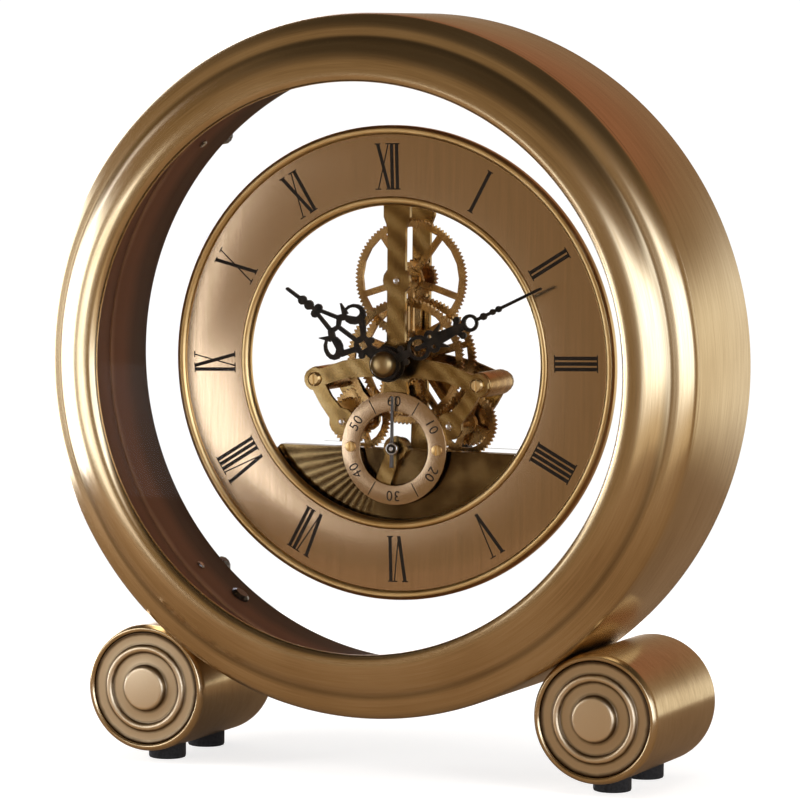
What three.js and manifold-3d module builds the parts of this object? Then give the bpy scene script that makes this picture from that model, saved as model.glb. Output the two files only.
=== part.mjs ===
// A round skeleton desk clock on two cylinder feet: a brass drum case with a clear front and back,
// an open dial, and a gear train between two pierced plates above a battery drive housing.
// Millimetres. +Z is up and the dial faces -Y. Inside the "clock" group the origin is the dial centre.

import * as THREE from "three";
import { mergeVertices } from "three/addons/utils/BufferGeometryUtils.js";
import Module from "manifold-3d";

const wasm = await Module();
wasm.setup();

// Clearances
const seatGap = 0.2; // between two pieces that rest on each other
const runGap = 0.06; // radial, round an arbor that turns
const fineGap = 0.3; // between pieces cut to each other's shape
const pressGap = 0.05; // radial, between an arbor and what is fast on it

// Case: radii from the dial centre, depths along Y
const caseSegments = 44;
const drumRadius = 110.1;
const drumFront = -21.4;
const drumRear = 26.0;
const bandWall = 1.2;
const rearFlange = 0.8;
const flangeWidth = 6.7;
const skirtWall = 1.2;
const skirtDrop = 2.7;
const rollInset = 2.5; // how far in from the drum each line of the bezel lies
const grooveInset = 7.6;
const ridgeInset = 17.35;
const openingInset = 21.2;
const rollDepth = 5.8; // and how deep
const grooveDepth = 27.5;
const ridgeDepth = 33.35;
const openingDepth = 32.3;
const bezelLip = 2.0;
const glassThickness = 2.0;
const glassOverlap = 6.6;
const sleeveWall = 3.2;
const sleeveRear = -5.9;
const coreInset = 13.5; // from the drum to the inner wall
const coreLedge = 19.75;
const ledgeWidth = 7.6;

// Rear pane and its clear bumpers
const paneThickness = 1.5;
const bumperRadius = 3.2;
const bumperReach = 0.2; // how far a bumper's edge stands inside the core
const bumperCount = 4;

// Core screws, on the diagonals
const coreScrewHead = 1.5;
const coreScrewHeight = 0.9;
const coreScrewShank = 0.8;
const coreScrewY = 2.2;

// Feet: two solid cylinders along Y
const footRadius = 20.4;
const footSpread = 36.0; // degrees either side of straight down
const footFront = -20.3;
const footRear = 35.7;
const footRounding = 1.6;
const footDiscRadius = 17.9;
const footDiscRecess = 1.7;
const beadRadius = 12.6;
const beadWidth = 1.8;
const buttonRadius = 7.1;
const buttonProud = 1.75;
const padRadius = 6.0;
const padHeight = 4.0;
const padInsetFront = 17.0;
const padInsetRear = 10.0;
const footBoltY = 7.7;
const footBoltHead = 3.2;
const footBoltHeight = 1.6;
const footBoltShank = 2.0;
const footBoltBite = 8.0;

// Dial ring
const dialSegments = 44;
const dialRadius = 75.0;
const dialBack = 1.7;
const dialFace = -0.4;
const rimFront = -1.6;
const rimWidth = 3.2;
const lipRadius = 52.1;
const lipFront = -1.8;
const dialOpening = 49.7;
const dialPostX = 36.0;
const dialPostZ = -46.0;
const dialPostRadius = 2.0;

// Plates, pillars and their screws
const plateThickness = 1.6;
const frontPlateY = 1.9;
const rearPlateY = 22.0;
const barWidth = 6.2;
const barTop = 57.0;
const shoulderLow = 42.5; // where the bar starts to widen
const shoulderHigh = 46.0;
const shoulderWidth = 9.0;
const hubRadius = 7.2;
const topBossRadius = 4.6;
const sideBossX = 27.9;
const sideBossZ = -6.2;
const sideBossRadius = 3.7;
const lowBossRadius = 4.4;
const armWidth = 5.6;
const strutWidth = 4.6;
const secondsRingBoss = 3.9;
const tieAngle = 23; // degrees above the seconds dial's level, where a tie meets its ring
const tieWidth = 6.0;
const pillarRadius = 4.0;
const topPillarRadius = 3.2;
const topPillarZ = 54.0;
const plateScrewHead = 2.3;
const plateScrewHeight = 1.1;
const plateScrewShank = 1.3;
const plateScrewBite = 5.0;
const screwSlotWidth = 0.5;
const screwSlotDepth = 0.4;
const rearScrewHead = 3.0;
const rearScrewHeight = 1.3;

// Gear train: teeth, axis places and depths of each wheel's front face
const bigTeeth = 90;
const upperPinionTeeth = 28;
const sidePinionTeeth = 32;
const sideWheelTeeth = 46;
const driveTeeth = 18;
const cannonTeeth = 12;
const motionTeeth = 36;
const motionPinionTeeth = 10;
const hourTeeth = 40;
const wheelThickness = 1.4;
const pinionThickness = 1.8;
const thinWheel = 1.0; // of the two wheels behind the front plate
const upperAxisZ = 25.9;
const sideAxisX = 18.4;
const sideAxisZ = -19.5;
const driveDistance = 14.0;
const driveDirection = -120; // degrees, from the right wheel's axis
const motionDistance = 9.6;
const secondsAxisZ = -27.1;
const frontWheelY = 9.5;
const upperWheelY = 13.4;
const sideWheelY = 16.3;
const rearWheelY = 19.6;
const hourWheelY = 4.4;
const motionWheelY = 6.1;
const arborRadius = 1.2;
const minuteArborRadius = 1.0;
const hourTubeRadius = 2.6;
const motionStudRadius = 0.9;
const secondsArborRadius = 0.75;
const bigRimWidth = 1.7;
const spokeWidth = 2.0;
const leftSpokeTurn = 20; // where the first spoke of each side wheel lies, in degrees
const rightSpokeTurn = 68;
const wheelHubRadius = 3.4;
const upperWheelRadius = 19.2;

// Hands
const hourHandLength = 42.1;
const hourHandAngle = -57.0; // degrees clockwise from twelve
const hourHandY = -4.6;
const minuteHandLength = 58.4;
const minuteHandAngle = 64.1;
const minuteHandY = -6.9;
const handThickness = 1.0;
const hourHubRadius = 5.8;
const minuteHubRadius = 5.2;
const handNutRadius = 4.1;
const handNutHeight = 3.6;
const nutBite = 1.2; // how far the minute arbor reaches in front of the minute hand
const hourTip = 0.5; // half the hand's width at its end
const hourEyeZ = 10.2;
const hourForkRise = 19.2; // above the eye: the fork, the crossing of its arms and the two loops
const hourCrossRise = 10.9;
const hourLoopRise = 8.1;
const hourEyeHalf = 1.75; // from the eye's centre to a corner
const eyeTurn = 20; // degrees
const hourLoopX = 6.5;
const scrollLean = 40; // degrees outward
const minuteTip = 0.4;
const knobZ = 7.0;
const knobX = 2.3;
const hubRingZ = 12.9;
const hubRingRadius = 4.0;
const bodyEyeZ = 17.8;
const bodyEyeX = 1.7;
const lobeZ = 28.2;
const lobeX = 2.6;
const tipRingZ = 31.9;
const tipRingRadius = 2.8;
const minuteBeadZ = 37.0;
const secondHandLength = 16.5;
const secondHandTail = 5.9;
const secondHandWidth = 1.2;
const secondHandY = -0.7;
const secondHandThickness = 0.5;
const secondHubRadius = 1.7;

// Seconds dial
const secondsDialRadius = 17.9;
const secondsDialOpening = 11.8;
const secondsDialThickness = 0.8;
const secondsScrewRadius = 1.7;
const secondsScrewHeight = 0.6;
const secondsScrewShank = 0.9;

// Drive housing below the train
const housingHalfWidth = 43.0;
const housingTop = -27.5;
const housingBottomRadius = 70.0;
const housingFront = 3.8;
const housingPanel = 4.2;
const housingStep = 4.0; // the body behind the front panel is this much lower
const blockHalfWidth = 34.0;
const blockBottom = -62.0;
const blockProud = 0.3;
const secondsBearingRadius = 3.2;
const driveBossRadius = 3.4;
const pocketGap = 0.9;
const batteryRadius = 7.25;
const batteryLength = 49.0;
const batteryZ = -53.0;
const bayGap = 0.5;
const contactRoom = 0.8; // for the contacts at the battery's ends
const bayLid = 1.0; // from the battery's rear to the block's rear face
const coverThickness = 1.2;
const coverOverlap = 1.4;
const driveBayWidth = 28.0;
const driveBayHeight = 7.6;
const driveBayX = -16.0;
const driveBayZ = -38.6;
const driveBayDepth = 12.0;
const coilRadius = 2.8;
const coilLength = 17.0;
const boardThickness = 1.2;
const knobRadius = 5.2;
const knobHeight = 4.0;
const knobFlutes = 16;
const knobGap = 0.4;
const knobBite = 2.0; // how far the drive arbor reaches into the knob

// Solids from three.js shapes

const clean = (geometry) => {
  const bare = geometry.index ? geometry.toNonIndexed() : geometry.clone();
  bare.deleteAttribute("normal");
  bare.deleteAttribute("uv");
  const merged = mergeVertices(bare, 1e-4);
  const index = [];
  const source = merged.index.array;
  for (let i = 0; i < source.length; i += 3) {
    const [a, b, c] = [source[i], source[i + 1], source[i + 2]];
    if (a !== b && b !== c && c !== a) {
      index.push(a, b, c);
    }
  }
  return { points: merged.attributes.position.array, index };
};

const signedVolume = ({ points, index }) => {
  const a = new THREE.Vector3();
  const b = new THREE.Vector3();
  const c = new THREE.Vector3();
  let volume = 0;
  for (let i = 0; i < index.length; i += 3) {
    a.fromArray(points, index[i] * 3);
    b.fromArray(points, index[i + 1] * 3);
    c.fromArray(points, index[i + 2] * 3);
    volume += a.dot(b.cross(c)) / 6;
  }
  return volume;
};

const solid = (geometry) => {
  const body = clean(geometry);
  if (signedVolume(body) < 0) {
    body.index.reverse();
  }
  return new wasm.Manifold(
    new wasm.Mesh({
      numProp: 3,
      vertProperties: new Float32Array(body.points),
      triVerts: new Uint32Array(body.index),
    }),
  );
};

const join = (...solids) => solids.flat().reduce((whole, next) => whole.add(next));

const geometryOf = (body) => {
  const mesh = body.getMesh();
  const geometry = new THREE.BufferGeometry();
  geometry.setAttribute("position", new THREE.BufferAttribute(mesh.vertProperties, 3));
  geometry.setIndex(new THREE.BufferAttribute(mesh.triVerts, 1));
  return geometry;
};

// A flat shape drawn in X and Z round a point, as thick as from front to rear along Y
const slab = (shape, front, rear, at = [0, 0]) => {
  const settings = { depth: rear - front, bevelEnabled: false, curveSegments: 1 };
  const geometry = new THREE.ExtrudeGeometry(shape, settings);
  geometry.rotateX(Math.PI / 2);
  geometry.translate(at[0], rear, at[1]);
  return solid(geometry);
};

// A closed profile of [radius, y] points turned round the Y axis through x, z
const turned = (profile, segments, x = 0, z = 0) => {
  const points = profile.map(([radius, y]) => new THREE.Vector2(radius, y));
  if (profile.every(([radius]) => radius > 0)) {
    points.push(points[0].clone());
  }
  const geometry = new THREE.LatheGeometry(points, segments);
  geometry.translate(x, 0, z);
  return solid(geometry);
};

const rod = (x, z, radius, front, rear, segments = 12) =>
  turned([[0, front], [radius, front], [radius, rear], [0, rear]], segments, x, z);

const tube = (inner, outer, front, rear, segments, x = 0, z = 0) =>
  turned([[inner, front], [outer, front], [outer, rear], [inner, rear]], segments, x, z);

// The radius of a drilled hole whose flats stay clear of a round of this radius
const holeFor = (radius, gap, segments = 12) => (radius + gap) / Math.cos(Math.PI / segments);

const hole = (x, z, radius, front, rear, gap = runGap, segments = 12) =>
  rod(x, z, holeFor(radius, gap, segments), front, rear, segments);

const box = (xLow, xHigh, yLow, yHigh, zLow, zHigh) => {
  const geometry = new THREE.BoxGeometry(xHigh - xLow, yHigh - yLow, zHigh - zLow);
  geometry.translate((xLow + xHigh) / 2, (yLow + yHigh) / 2, (zLow + zHigh) / 2);
  return solid(geometry);
};

const shapeOf = (points) => new THREE.Shape(points.map(([x, z]) => new THREE.Vector2(x, z)));

// A straight bar between two points, which may widen on its way
const bar = (from, to, widthFrom, widthTo, front, rear) => {
  const length = Math.hypot(to[0] - from[0], to[1] - from[1]);
  const side = [-(to[1] - from[1]) / length / 2, (to[0] - from[0]) / length / 2];
  const corner = ([x, z], width, sign) => [x + sign * width * side[0], z + sign * width * side[1]];
  const outline = [
    corner(from, widthFrom, 1),
    corner(from, widthFrom, -1),
    corner(to, widthTo, -1),
    corner(to, widthTo, 1),
  ];
  return slab(shapeOf(outline), front, rear);
};

const radians = (degrees) => (degrees * Math.PI) / 180;

const polar = (radius, angle) => [radius * Math.cos(angle), radius * Math.sin(angle)];

// A point at a distance and an angle in degrees from another
const awayFrom = (from, radius, degrees) => {
  const [x, z] = polar(radius, radians(degrees));
  return [from[0] + x, from[1] + z];
};

const arcPoints = (radius, start, end, steps) =>
  Array.from({ length: steps + 1 }, (_, i) => polar(radius, start + ((end - start) * i) / steps));

// Materials

const material = (color, roughness, metalness, opacity = 1) =>
  new THREE.MeshStandardMaterial({ color, roughness, metalness, opacity, transparent: opacity < 1 });

const brushedBrass = material(0xa98b5c, 0.35, 1.0);
const polishedGold = material(0xd9b064, 0.18, 1.0);
const dialBrass = material(0xb99a6c, 0.4, 0.9);
const wheelBrass = material(0x9a6a2c, 0.35, 0.9);
const plateBrass = material(0x8f6a35, 0.3, 1.0);
const silver = material(0xc9c9c6, 0.25, 1.0);
const blackMetal = material(0x17140f, 0.4, 0.6);
const brownPaint = material(0x3d2d28, 0.5, 0.0);
const clear = material(0xf4f7f6, 0.05, 0.0, 0.15);
const rubber = material(0x1c1c1e, 0.85, 0.0);
const batteryFilm = material(0x44484c, 0.4, 0.2);
const copper = material(0xb0653a, 0.35, 1.0);
const boardGreen = material(0x2f5a3c, 0.6, 0.0);

const clock = new THREE.Group();

const add = (name, body, finish) => {
  const mesh = new THREE.Mesh(geometryOf(body), finish);
  mesh.name = name;
  clock.add(mesh);
};

// Case

const rollRadius = drumRadius - rollInset;
const grooveRadius = drumRadius - grooveInset;
const ridgeRadius = drumRadius - ridgeInset;
const openingRadius = drumRadius - openingInset;
const coreRadius = drumRadius - coreInset;

// The core's inner wall is faceted, so a screw head seats against the middle of a facet
const coreFlat = coreRadius * Math.cos(Math.PI / caseSegments);
const glassFront = -openingDepth + bezelLip - 0.1;
const glassRadius = openingRadius + glassOverlap;
const sleeveOuter = coreRadius + 1.0;
const bezelRear = drumFront - skirtDrop;
const coreOuter = drumRadius - bandWall - seatGap;
const paneFront = rearPlateY + plateThickness;
const paneRear = paneFront + paneThickness;
const paneRadius = coreOuter - 1.2;
const flangeInner = drumRadius - flangeWidth;

const frontBezel = () => {
  const bezelInner = sleeveOuter + seatGap;
  const skirtInner = drumRadius - skirtWall;
  const midCove = (grooveRadius + ridgeRadius) / 2;
  const profile = [
    [drumRadius, drumFront - 0.1],
    [drumRadius - 0.3, drumFront - 3.6],
    [rollRadius, drumFront - rollDepth],
    [rollRadius - 2.4, -grooveDepth - 0.5],
    [grooveRadius, -grooveDepth],
    [midCove + 1.0, -(grooveDepth + ridgeDepth) / 2 + 0.6],
    [ridgeRadius + 2.2, -ridgeDepth + 0.5],
    [ridgeRadius, -ridgeDepth],
    [openingRadius, -openingDepth],
    [openingRadius, glassFront - 0.1],
    [bezelInner, glassFront - 0.1],
    [bezelInner, bezelRear],
    [skirtInner, bezelRear],
    [skirtInner, drumFront - 0.1],
  ];
  return turned(profile, caseSegments);
};

const drumBand = () => {
  const inner = drumRadius - bandWall;
  const profile = [
    [inner, drumFront],
    [drumRadius, drumFront],
    [drumRadius, drumRear],
    [flangeInner, drumRear],
    [flangeInner, drumRear - rearFlange],
    [inner, drumRear - rearFlange],
  ];
  return turned(profile, caseSegments);
};

const caseCore = () => {
  const profile = [
    [sleeveOuter + seatGap / 2, bezelRear + seatGap],
    [coreOuter, bezelRear + seatGap],
    [coreOuter, paneFront - seatGap / 2],
    [coreRadius + ledgeWidth, paneFront - seatGap / 2],
    [coreRadius + ledgeWidth, coreLedge],
    [coreRadius, coreLedge],
    [coreRadius, sleeveRear + seatGap],
    [sleeveOuter + seatGap / 2, sleeveRear + seatGap],
  ];
  return turned(profile, caseSegments);
};

const glassSleeve = () => {
  const front = glassFront + glassThickness + seatGap / 2;
  const profile = [
    [sleeveOuter - sleeveWall, front],
    [sleeveOuter, front],
    [sleeveOuter, sleeveRear],
    [coreRadius + 0.3, sleeveRear],
    [coreRadius + 0.3, front + 4.0],
  ];
  return turned(profile, caseSegments);
};

const disc = (radius, front, rear, segments) =>
  turned([[0, front], [radius, front], [radius, rear], [0, rear]], segments);

// Places on the two diagonals, in degrees from +X
const diagonal = (index) => 45 + (360 / bumperCount) * index;

// A closed profile of [radius, distance out] points turned round the ray at an angle from the dial's axis
const radial = (profile, segments, angle, y) => {
  const points = profile.map(([radius, along]) => new THREE.Vector2(radius, along));
  const geometry = new THREE.LatheGeometry(points, segments);
  geometry.rotateZ(-Math.PI / 2);
  geometry.rotateY(-radians(angle));
  geometry.translate(0, y, 0);
  return solid(geometry);
};

const screwProfile = (headRadius, headHeight, shankRadius, seat, end) => [
  [0, seat - headHeight],
  [headRadius * 0.7, seat - headHeight],
  [headRadius, seat - headHeight * 0.5],
  [headRadius, seat - seatGap / 2],
  [shankRadius, seat - seatGap / 2],
  [shankRadius, end],
  [0, end],
];

const coreScrewProfile = screwProfile(
  coreScrewHead,
  coreScrewHeight,
  coreScrewShank,
  coreFlat - seatGap / 2,
  coreOuter - 1.5,
);

const clearBore = (radius, from, to) => [[0, from], [radius, from], [radius, to], [0, to]];

// Feet

const footDistance = drumRadius + footRadius + 0.1;
const footX = footDistance * Math.sin(radians(footSpread));
const footZ = -footDistance * Math.cos(radians(footSpread));

const footBody = (x, boltAngle) => {
  const recess = footDiscRadius + seatGap;
  const floor = footFront + footDiscRecess + seatGap;
  const profile = [
    [0, floor],
    [recess, floor],
    [recess, footFront],
    [footRadius - footRounding, footFront],
    [footRadius, footFront + footRounding],
    [footRadius, footRear - footRounding],
    [footRadius - footRounding, footRear],
    [0, footRear],
  ];
  const bore = radial(
    clearBore(footBoltShank + seatGap, drumRadius - 1, drumRadius + footBoltBite + 1),
    12,
    boltAngle,
    footBoltY,
  );
  return turned(profile, 30, x, footZ).subtract(bore);
};

// The round face plate of a foot: a raised bead, a channel and a flat button
const footDisc = (x) => {
  const floor = footFront + footDiscRecess;
  const thin = 0.9;
  const profile = [
    [0, floor],
    [footDiscRadius, floor],
    [footDiscRadius, floor - thin - 0.5],
    [beadRadius + beadWidth / 2 + 0.5, floor - thin],
    [beadRadius + beadWidth / 4, footFront - 0.3],
    [beadRadius - beadWidth / 4, footFront - 0.3],
    [beadRadius - beadWidth / 2 - 0.5, floor - thin],
    [buttonRadius + 0.3, floor - thin],
    [buttonRadius - 0.7, footFront - buttonProud],
    [0, footFront - buttonProud],
  ];
  return turned(profile, 26, x, footZ);
};

const floorZ = footZ - footRadius - padHeight;

// A rubber pad: a short upright post whose top is hollowed to the foot's round
const footPad = (x, y) => {
  const post = new THREE.CylinderGeometry(padRadius, padRadius, padHeight + 2, 14);
  post.rotateX(Math.PI / 2);
  post.translate(x, y, floorZ + (padHeight + 2) / 2);
  const round = rod(x, footZ, footRadius + 0.1, y - 2 * padRadius, y + 2 * padRadius, 60);
  return solid(post).subtract(round);
};

// Dial ring with a raised rim, an inner lip and two posts that stand on the drive housing

const dialRing = () => {
  const profile = [
    [dialOpening, dialBack],
    [dialRadius, dialBack],
    [dialRadius, rimFront + 0.7],
    [dialRadius - 0.7, rimFront],
    [dialRadius - rimWidth + 1.0, rimFront],
    [dialRadius - rimWidth, dialFace],
    [lipRadius + 0.9, dialFace],
    [lipRadius + 0.4, lipFront],
    [lipRadius - 0.5, lipFront],
    [dialOpening, lipFront + 1.9],
  ];
  const posts = [-1, 1].map((sign) =>
    rod(sign * dialPostX, dialPostZ, dialPostRadius, dialBack - 0.5, housingFront - seatGap / 2),
  );
  return join(turned(profile, dialSegments), posts);
};

// Gears

// A wheel's outline: straight-sided teeth, with one tooth centred at the angle phase
const toothOutline = (teeth, module, phase) => {
  const tip = module * (teeth / 2 + 0.9);
  const root = module * (teeth / 2 - 1.15);
  const pitch = (2 * Math.PI) / teeth;
  const points = [];
  for (let i = 0; i < teeth; i += 1) {
    const angle = phase + i * pitch;
    points.push(polar(tip, angle), polar(root, angle + pitch / 2));
  }
  return points;
};

const tipRadius = (teeth, module) => module * (teeth / 2 + 0.9);

// The window between two spokes, with a curved outer side
const spokeWindow = (inner, outer, start, end) => {
  const lean = spokeWidth / 2 / outer;
  const leanInner = spokeWidth / 2 / inner;
  const outerArc = arcPoints(outer, start + lean, end - lean, 4);
  const innerArc = arcPoints(inner, end - leanInner, start + leanInner, 1);
  return new THREE.Path([...outerArc, ...innerArc].map(([x, z]) => new THREE.Vector2(x, z)));
};

// A pierced wheel as a shape round its own axis
const wheelShape = (teeth, module, phase, spokes, spokePhase, hub) => {
  const shape = shapeOf(toothOutline(teeth, module, phase));
  const rim = module * (teeth / 2 - 1.15) - bigRimWidth;
  for (let i = 0; i < spokes; i += 1) {
    const start = spokePhase + (i * 2 * Math.PI) / spokes;
    shape.holes.push(spokeWindow(hub, rim, start, start + (2 * Math.PI) / spokes));
  }
  return shape;
};

const toothedSlab = (teeth, module, phase, at, front, rear) =>
  slab(shapeOf(toothOutline(teeth, module, phase)), front, rear, at);

const distanceOf = (a, b) => Math.hypot(b[0] - a[0], b[1] - a[1]);

const moduleOf = (a, b, teethA, teethB) => (2 * distanceOf(a, b)) / (teethA + teethB);

// The phase that puts wheel B in mesh with wheel A, whose tooth phase is known
const meshPhase = (a, phaseA, teethA, b, teethB) => {
  const line = Math.atan2(b[1] - a[1], b[0] - a[0]);
  const offset = ((line - phaseA) * teethA) / (2 * Math.PI);
  return line + Math.PI - ((0.5 - offset) * 2 * Math.PI) / teethB;
};

const centreAxis = [0, 0];
const upperAxis = [0, upperAxisZ];
const leftAxis = [-sideAxisX, sideAxisZ];
const rightAxis = [sideAxisX, sideAxisZ];
const driveOffset = polar(driveDistance, radians(driveDirection));
const driveAxis = [rightAxis[0] + driveOffset[0], rightAxis[1] + driveOffset[1]];
const motionAxis = [0, -motionDistance];
const secondsAxis = [0, secondsAxisZ];

const frontModule = moduleOf(centreAxis, leftAxis, bigTeeth, sidePinionTeeth);
const rearModule = moduleOf(centreAxis, rightAxis, bigTeeth, sidePinionTeeth);
const upperPinionModule = (2 * (upperAxisZ - (rearModule * bigTeeth) / 2)) / upperPinionTeeth;
const upperModule = upperWheelRadius / (bigTeeth / 2 + 0.9);
const driveModule = moduleOf(rightAxis, driveAxis, sideWheelTeeth, driveTeeth);
const cannonModule = moduleOf(centreAxis, motionAxis, cannonTeeth, motionTeeth);
const hourModule = moduleOf(centreAxis, motionAxis, hourTeeth, motionPinionTeeth);

const rearPlateEnd = rearPlateY + plateThickness - seatGap;
const frontPivot = frontPlateY - 0.3;

const minuteArbor = () => {
  const shaft = rod(0, 0, minuteArborRadius, minuteHandY - nutBite, rearPlateEnd);
  const front = motionWheelY - 0.2;
  const cannon = toothedSlab(cannonTeeth, cannonModule, 0, centreAxis, front, front + wheelThickness);
  return join(shaft, cannon);
};

const centreWheel = (module, phase, front) => {
  const shape = wheelShape(bigTeeth, module, phase, 5, radians(90), wheelHubRadius + 1.2);
  const wheel = slab(shape, front, front + wheelThickness);
  const hub = rod(0, 0, wheelHubRadius, front - 0.5, front + wheelThickness + 0.6, 14);
  const bore = hole(0, 0, minuteArborRadius, front - 1, front + wheelThickness + 1, pressGap);
  return join(wheel, hub).subtract(bore);
};

const upperWheel = () => {
  const shape = wheelShape(bigTeeth, upperModule, 0, 5, radians(54), wheelHubRadius + 1.0);
  const phase = meshPhase(centreAxis, 0, bigTeeth, upperAxis, upperPinionTeeth);
  return join(
    slab(shape, upperWheelY, upperWheelY + wheelThickness, upperAxis),
    rod(0, upperAxisZ, wheelHubRadius, upperWheelY - 0.8, upperWheelY + wheelThickness + 0.8, 14),
    rod(0, upperAxisZ, arborRadius, frontPivot, rearPlateEnd),
    toothedSlab(
      upperPinionTeeth,
      upperPinionModule,
      phase,
      upperAxis,
      rearWheelY - 0.2,
      rearWheelY - 0.2 + pinionThickness,
    ),
  );
};

const sideWheel = (axis, pinionFront, pinionModule, spokeTurn) => {
  const pinionPhase = meshPhase(centreAxis, 0, bigTeeth, axis, sidePinionTeeth);
  const shape = wheelShape(sideWheelTeeth, driveModule, 0, 4, radians(spokeTurn), wheelHubRadius + 0.2);
  return join(
    slab(shape, sideWheelY, sideWheelY + wheelThickness - 0.2, axis),
    rod(axis[0], axis[1], wheelHubRadius, sideWheelY - 0.6, sideWheelY + wheelThickness + 0.4, 14),
    rod(axis[0], axis[1], arborRadius, frontPivot, rearPlateEnd),
    toothedSlab(sidePinionTeeth, pinionModule, pinionPhase, axis, pinionFront, pinionFront + pinionThickness),
  );
};

const driveCoverFront = paneRear + blockProud + 0.1;
const driveCoverRear = driveCoverFront + coverThickness;

const driveWheel = () => {
  const phase = meshPhase(rightAxis, 0, sideWheelTeeth, driveAxis, driveTeeth);
  return join(
    rod(driveAxis[0], driveAxis[1], arborRadius, housingFront, driveCoverRear + knobGap + knobBite),
    toothedSlab(driveTeeth, driveModule, phase, driveAxis, sideWheelY - 0.2, sideWheelY + wheelThickness),
  );
};

const motionPinionPhase = meshPhase(centreAxis, 0, hourTeeth, motionAxis, motionPinionTeeth);

const motionWheel = () => {
  const wheelPhase = meshPhase(centreAxis, 0, cannonTeeth, motionAxis, motionTeeth);
  const wheelRear = motionWheelY + thinWheel;
  const wheel = toothedSlab(motionTeeth, cannonModule, wheelPhase, motionAxis, motionWheelY, wheelRear);
  const pinion = toothedSlab(
    motionPinionTeeth,
    hourModule,
    motionPinionPhase,
    motionAxis,
    hourWheelY - 0.3,
    motionWheelY + 0.2,
  );
  const bore = hole(motionAxis[0], motionAxis[1], motionStudRadius, hourWheelY - 1, motionWheelY + 2);
  return join(wheel, pinion).subtract(bore);
};

const hourWheel = () => {
  const gear = toothedSlab(hourTeeth, hourModule, 0, centreAxis, hourWheelY, hourWheelY + thinWheel);
  const pipe = rod(0, 0, hourTubeRadius, hourHandY, hourWheelY + 1.2, 16);
  const bore = hole(0, 0, minuteArborRadius, hourHandY - 1, hourWheelY + 2);
  return join(gear, pipe).subtract(bore);
};

// Plates

const sideBosses = [
  [-sideBossX, sideBossZ],
  [sideBossX, sideBossZ],
];
const lowBosses = [leftAxis, rightAxis];

// The outline that both plates share: an upright bar, a hub, two arms, two struts and their bosses
const plateFrame = (front, rear) => {
  const round = (at, radius, segments = 14) => rod(at[0], at[1], radius, front, rear, segments);
  const pieces = [
    bar([0, 0], [0, barTop], barWidth, barWidth, front, rear),
    bar([0, shoulderLow], [0, shoulderHigh], barWidth, shoulderWidth, front, rear),
    bar([0, shoulderHigh], [0, barTop], shoulderWidth, shoulderWidth, front, rear),
    round(centreAxis, hubRadius, 18),
    round(upperAxis, topBossRadius, 16),
  ];
  for (const sign of [-1, 1]) {
    const boss = [sign * sideBossX, sideBossZ];
    const low = [sign * sideAxisX, sideAxisZ];
    const elbow = [sign * sideBossX * 0.62, sideBossZ * 0.42];
    const knee = [sign * (sideBossX * 0.5 + sideAxisX * 0.5 + 0.9), (sideBossZ + sideAxisZ) / 2];
    pieces.push(
      bar([0, -0.6], elbow, armWidth + 1.6, armWidth, front, rear),
      round(elbow, armWidth / 2, 10),
      bar(elbow, boss, armWidth, armWidth - 0.6, front, rear),
      round(boss, sideBossRadius),
      bar(boss, knee, strutWidth, strutWidth, front, rear),
      round(knee, strutWidth / 2, 10),
      bar(knee, low, strutWidth, strutWidth + 1, front, rear),
      round(low, lowBossRadius),
    );
  }
  return pieces;
};

const arborHoles = (front, rear) =>
  [upperAxis, leftAxis, rightAxis].map(([x, z]) => hole(x, z, arborRadius, front - 1, rear + 1));

const frontPlate = () => {
  const front = frontPlateY;
  const rear = frontPlateY + plateThickness;
  const ringOuter = secondsDialRadius - 0.9;
  const ringInner = secondsDialOpening + 0.8;
  const ring = tube(ringInner, ringOuter, front, rear, 26, 0, secondsAxisZ);
  const spine = bar([0, 0], [0, secondsAxisZ + ringInner + 1], armWidth, armWidth + 4, front, rear);
  const bossBar = bar(secondsAxis, awayFrom(secondsAxis, ringInner + 1, 250), 4.4, 5.4, front, rear);
  const secondsBoss = rod(0, secondsAxisZ, secondsRingBoss, front, rear, 14);
  const stud = rod(motionAxis[0], motionAxis[1], motionStudRadius, front + 0.5, motionWheelY + 1.4);
  const ties = lowBosses.map((low) => {
    const end = awayFrom(secondsAxis, ringInner + 2, low[0] < 0 ? 180 - tieAngle : tieAngle);
    return bar(low, end, tieWidth, tieWidth, front, rear);
  });
  const cuts = [
    hole(0, 0, hourTubeRadius, front - 1, rear + 1, runGap, 16),
    hole(0, secondsAxisZ, secondsArborRadius, front - 1, rear + 1),
    ...sideBosses.map(([x, z]) => hole(x, z, plateScrewShank, front - 1, rear + 1)),
    ...secondsScrewPlaces.map((x) => hole(x, secondsAxisZ, secondsScrewShank, front - 1, rear + 1)),
    ...arborHoles(front, rear),
  ];
  const whole = join(plateFrame(front, rear), ring, spine, bossBar, secondsBoss, ties);
  return join(whole.subtract(join(cuts)), stud);
};

const secondsScrewX = (secondsDialRadius + secondsDialOpening) / 2;
const secondsScrewPlaces = [-secondsScrewX, secondsScrewX];

const rearPlate = () => {
  const front = rearPlateY;
  const rear = rearPlateEnd;
  const bodyTop = housingTop - housingStep;
  const diagonals = lowBosses.map((low) => bar(centreAxis, low, strutWidth + 0.4, strutWidth, front, rear));
  const foot = bar([-3, bodyTop + 2.3], [3, bodyTop + 2.3], 4, 4, front, rear);
  const stem = bar([0, 0], [0, bodyTop + 1], 4.6, 6.4, front, rear);
  const cuts = [
    hole(0, 0, minuteArborRadius, front - 1, rear + 1),
    ...sideBosses.map(([x, z]) => hole(x, z, plateScrewShank + seatGap, front - 1, rear + 1)),
    ...arborHoles(front, rear),
  ];
  return join(plateFrame(front, rear), diagonals, foot, stem).subtract(join(cuts));
};

const pillarFront = frontPlateY + plateThickness + seatGap / 2;
const pillarRear = rearPlateY - seatGap / 2;

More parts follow.
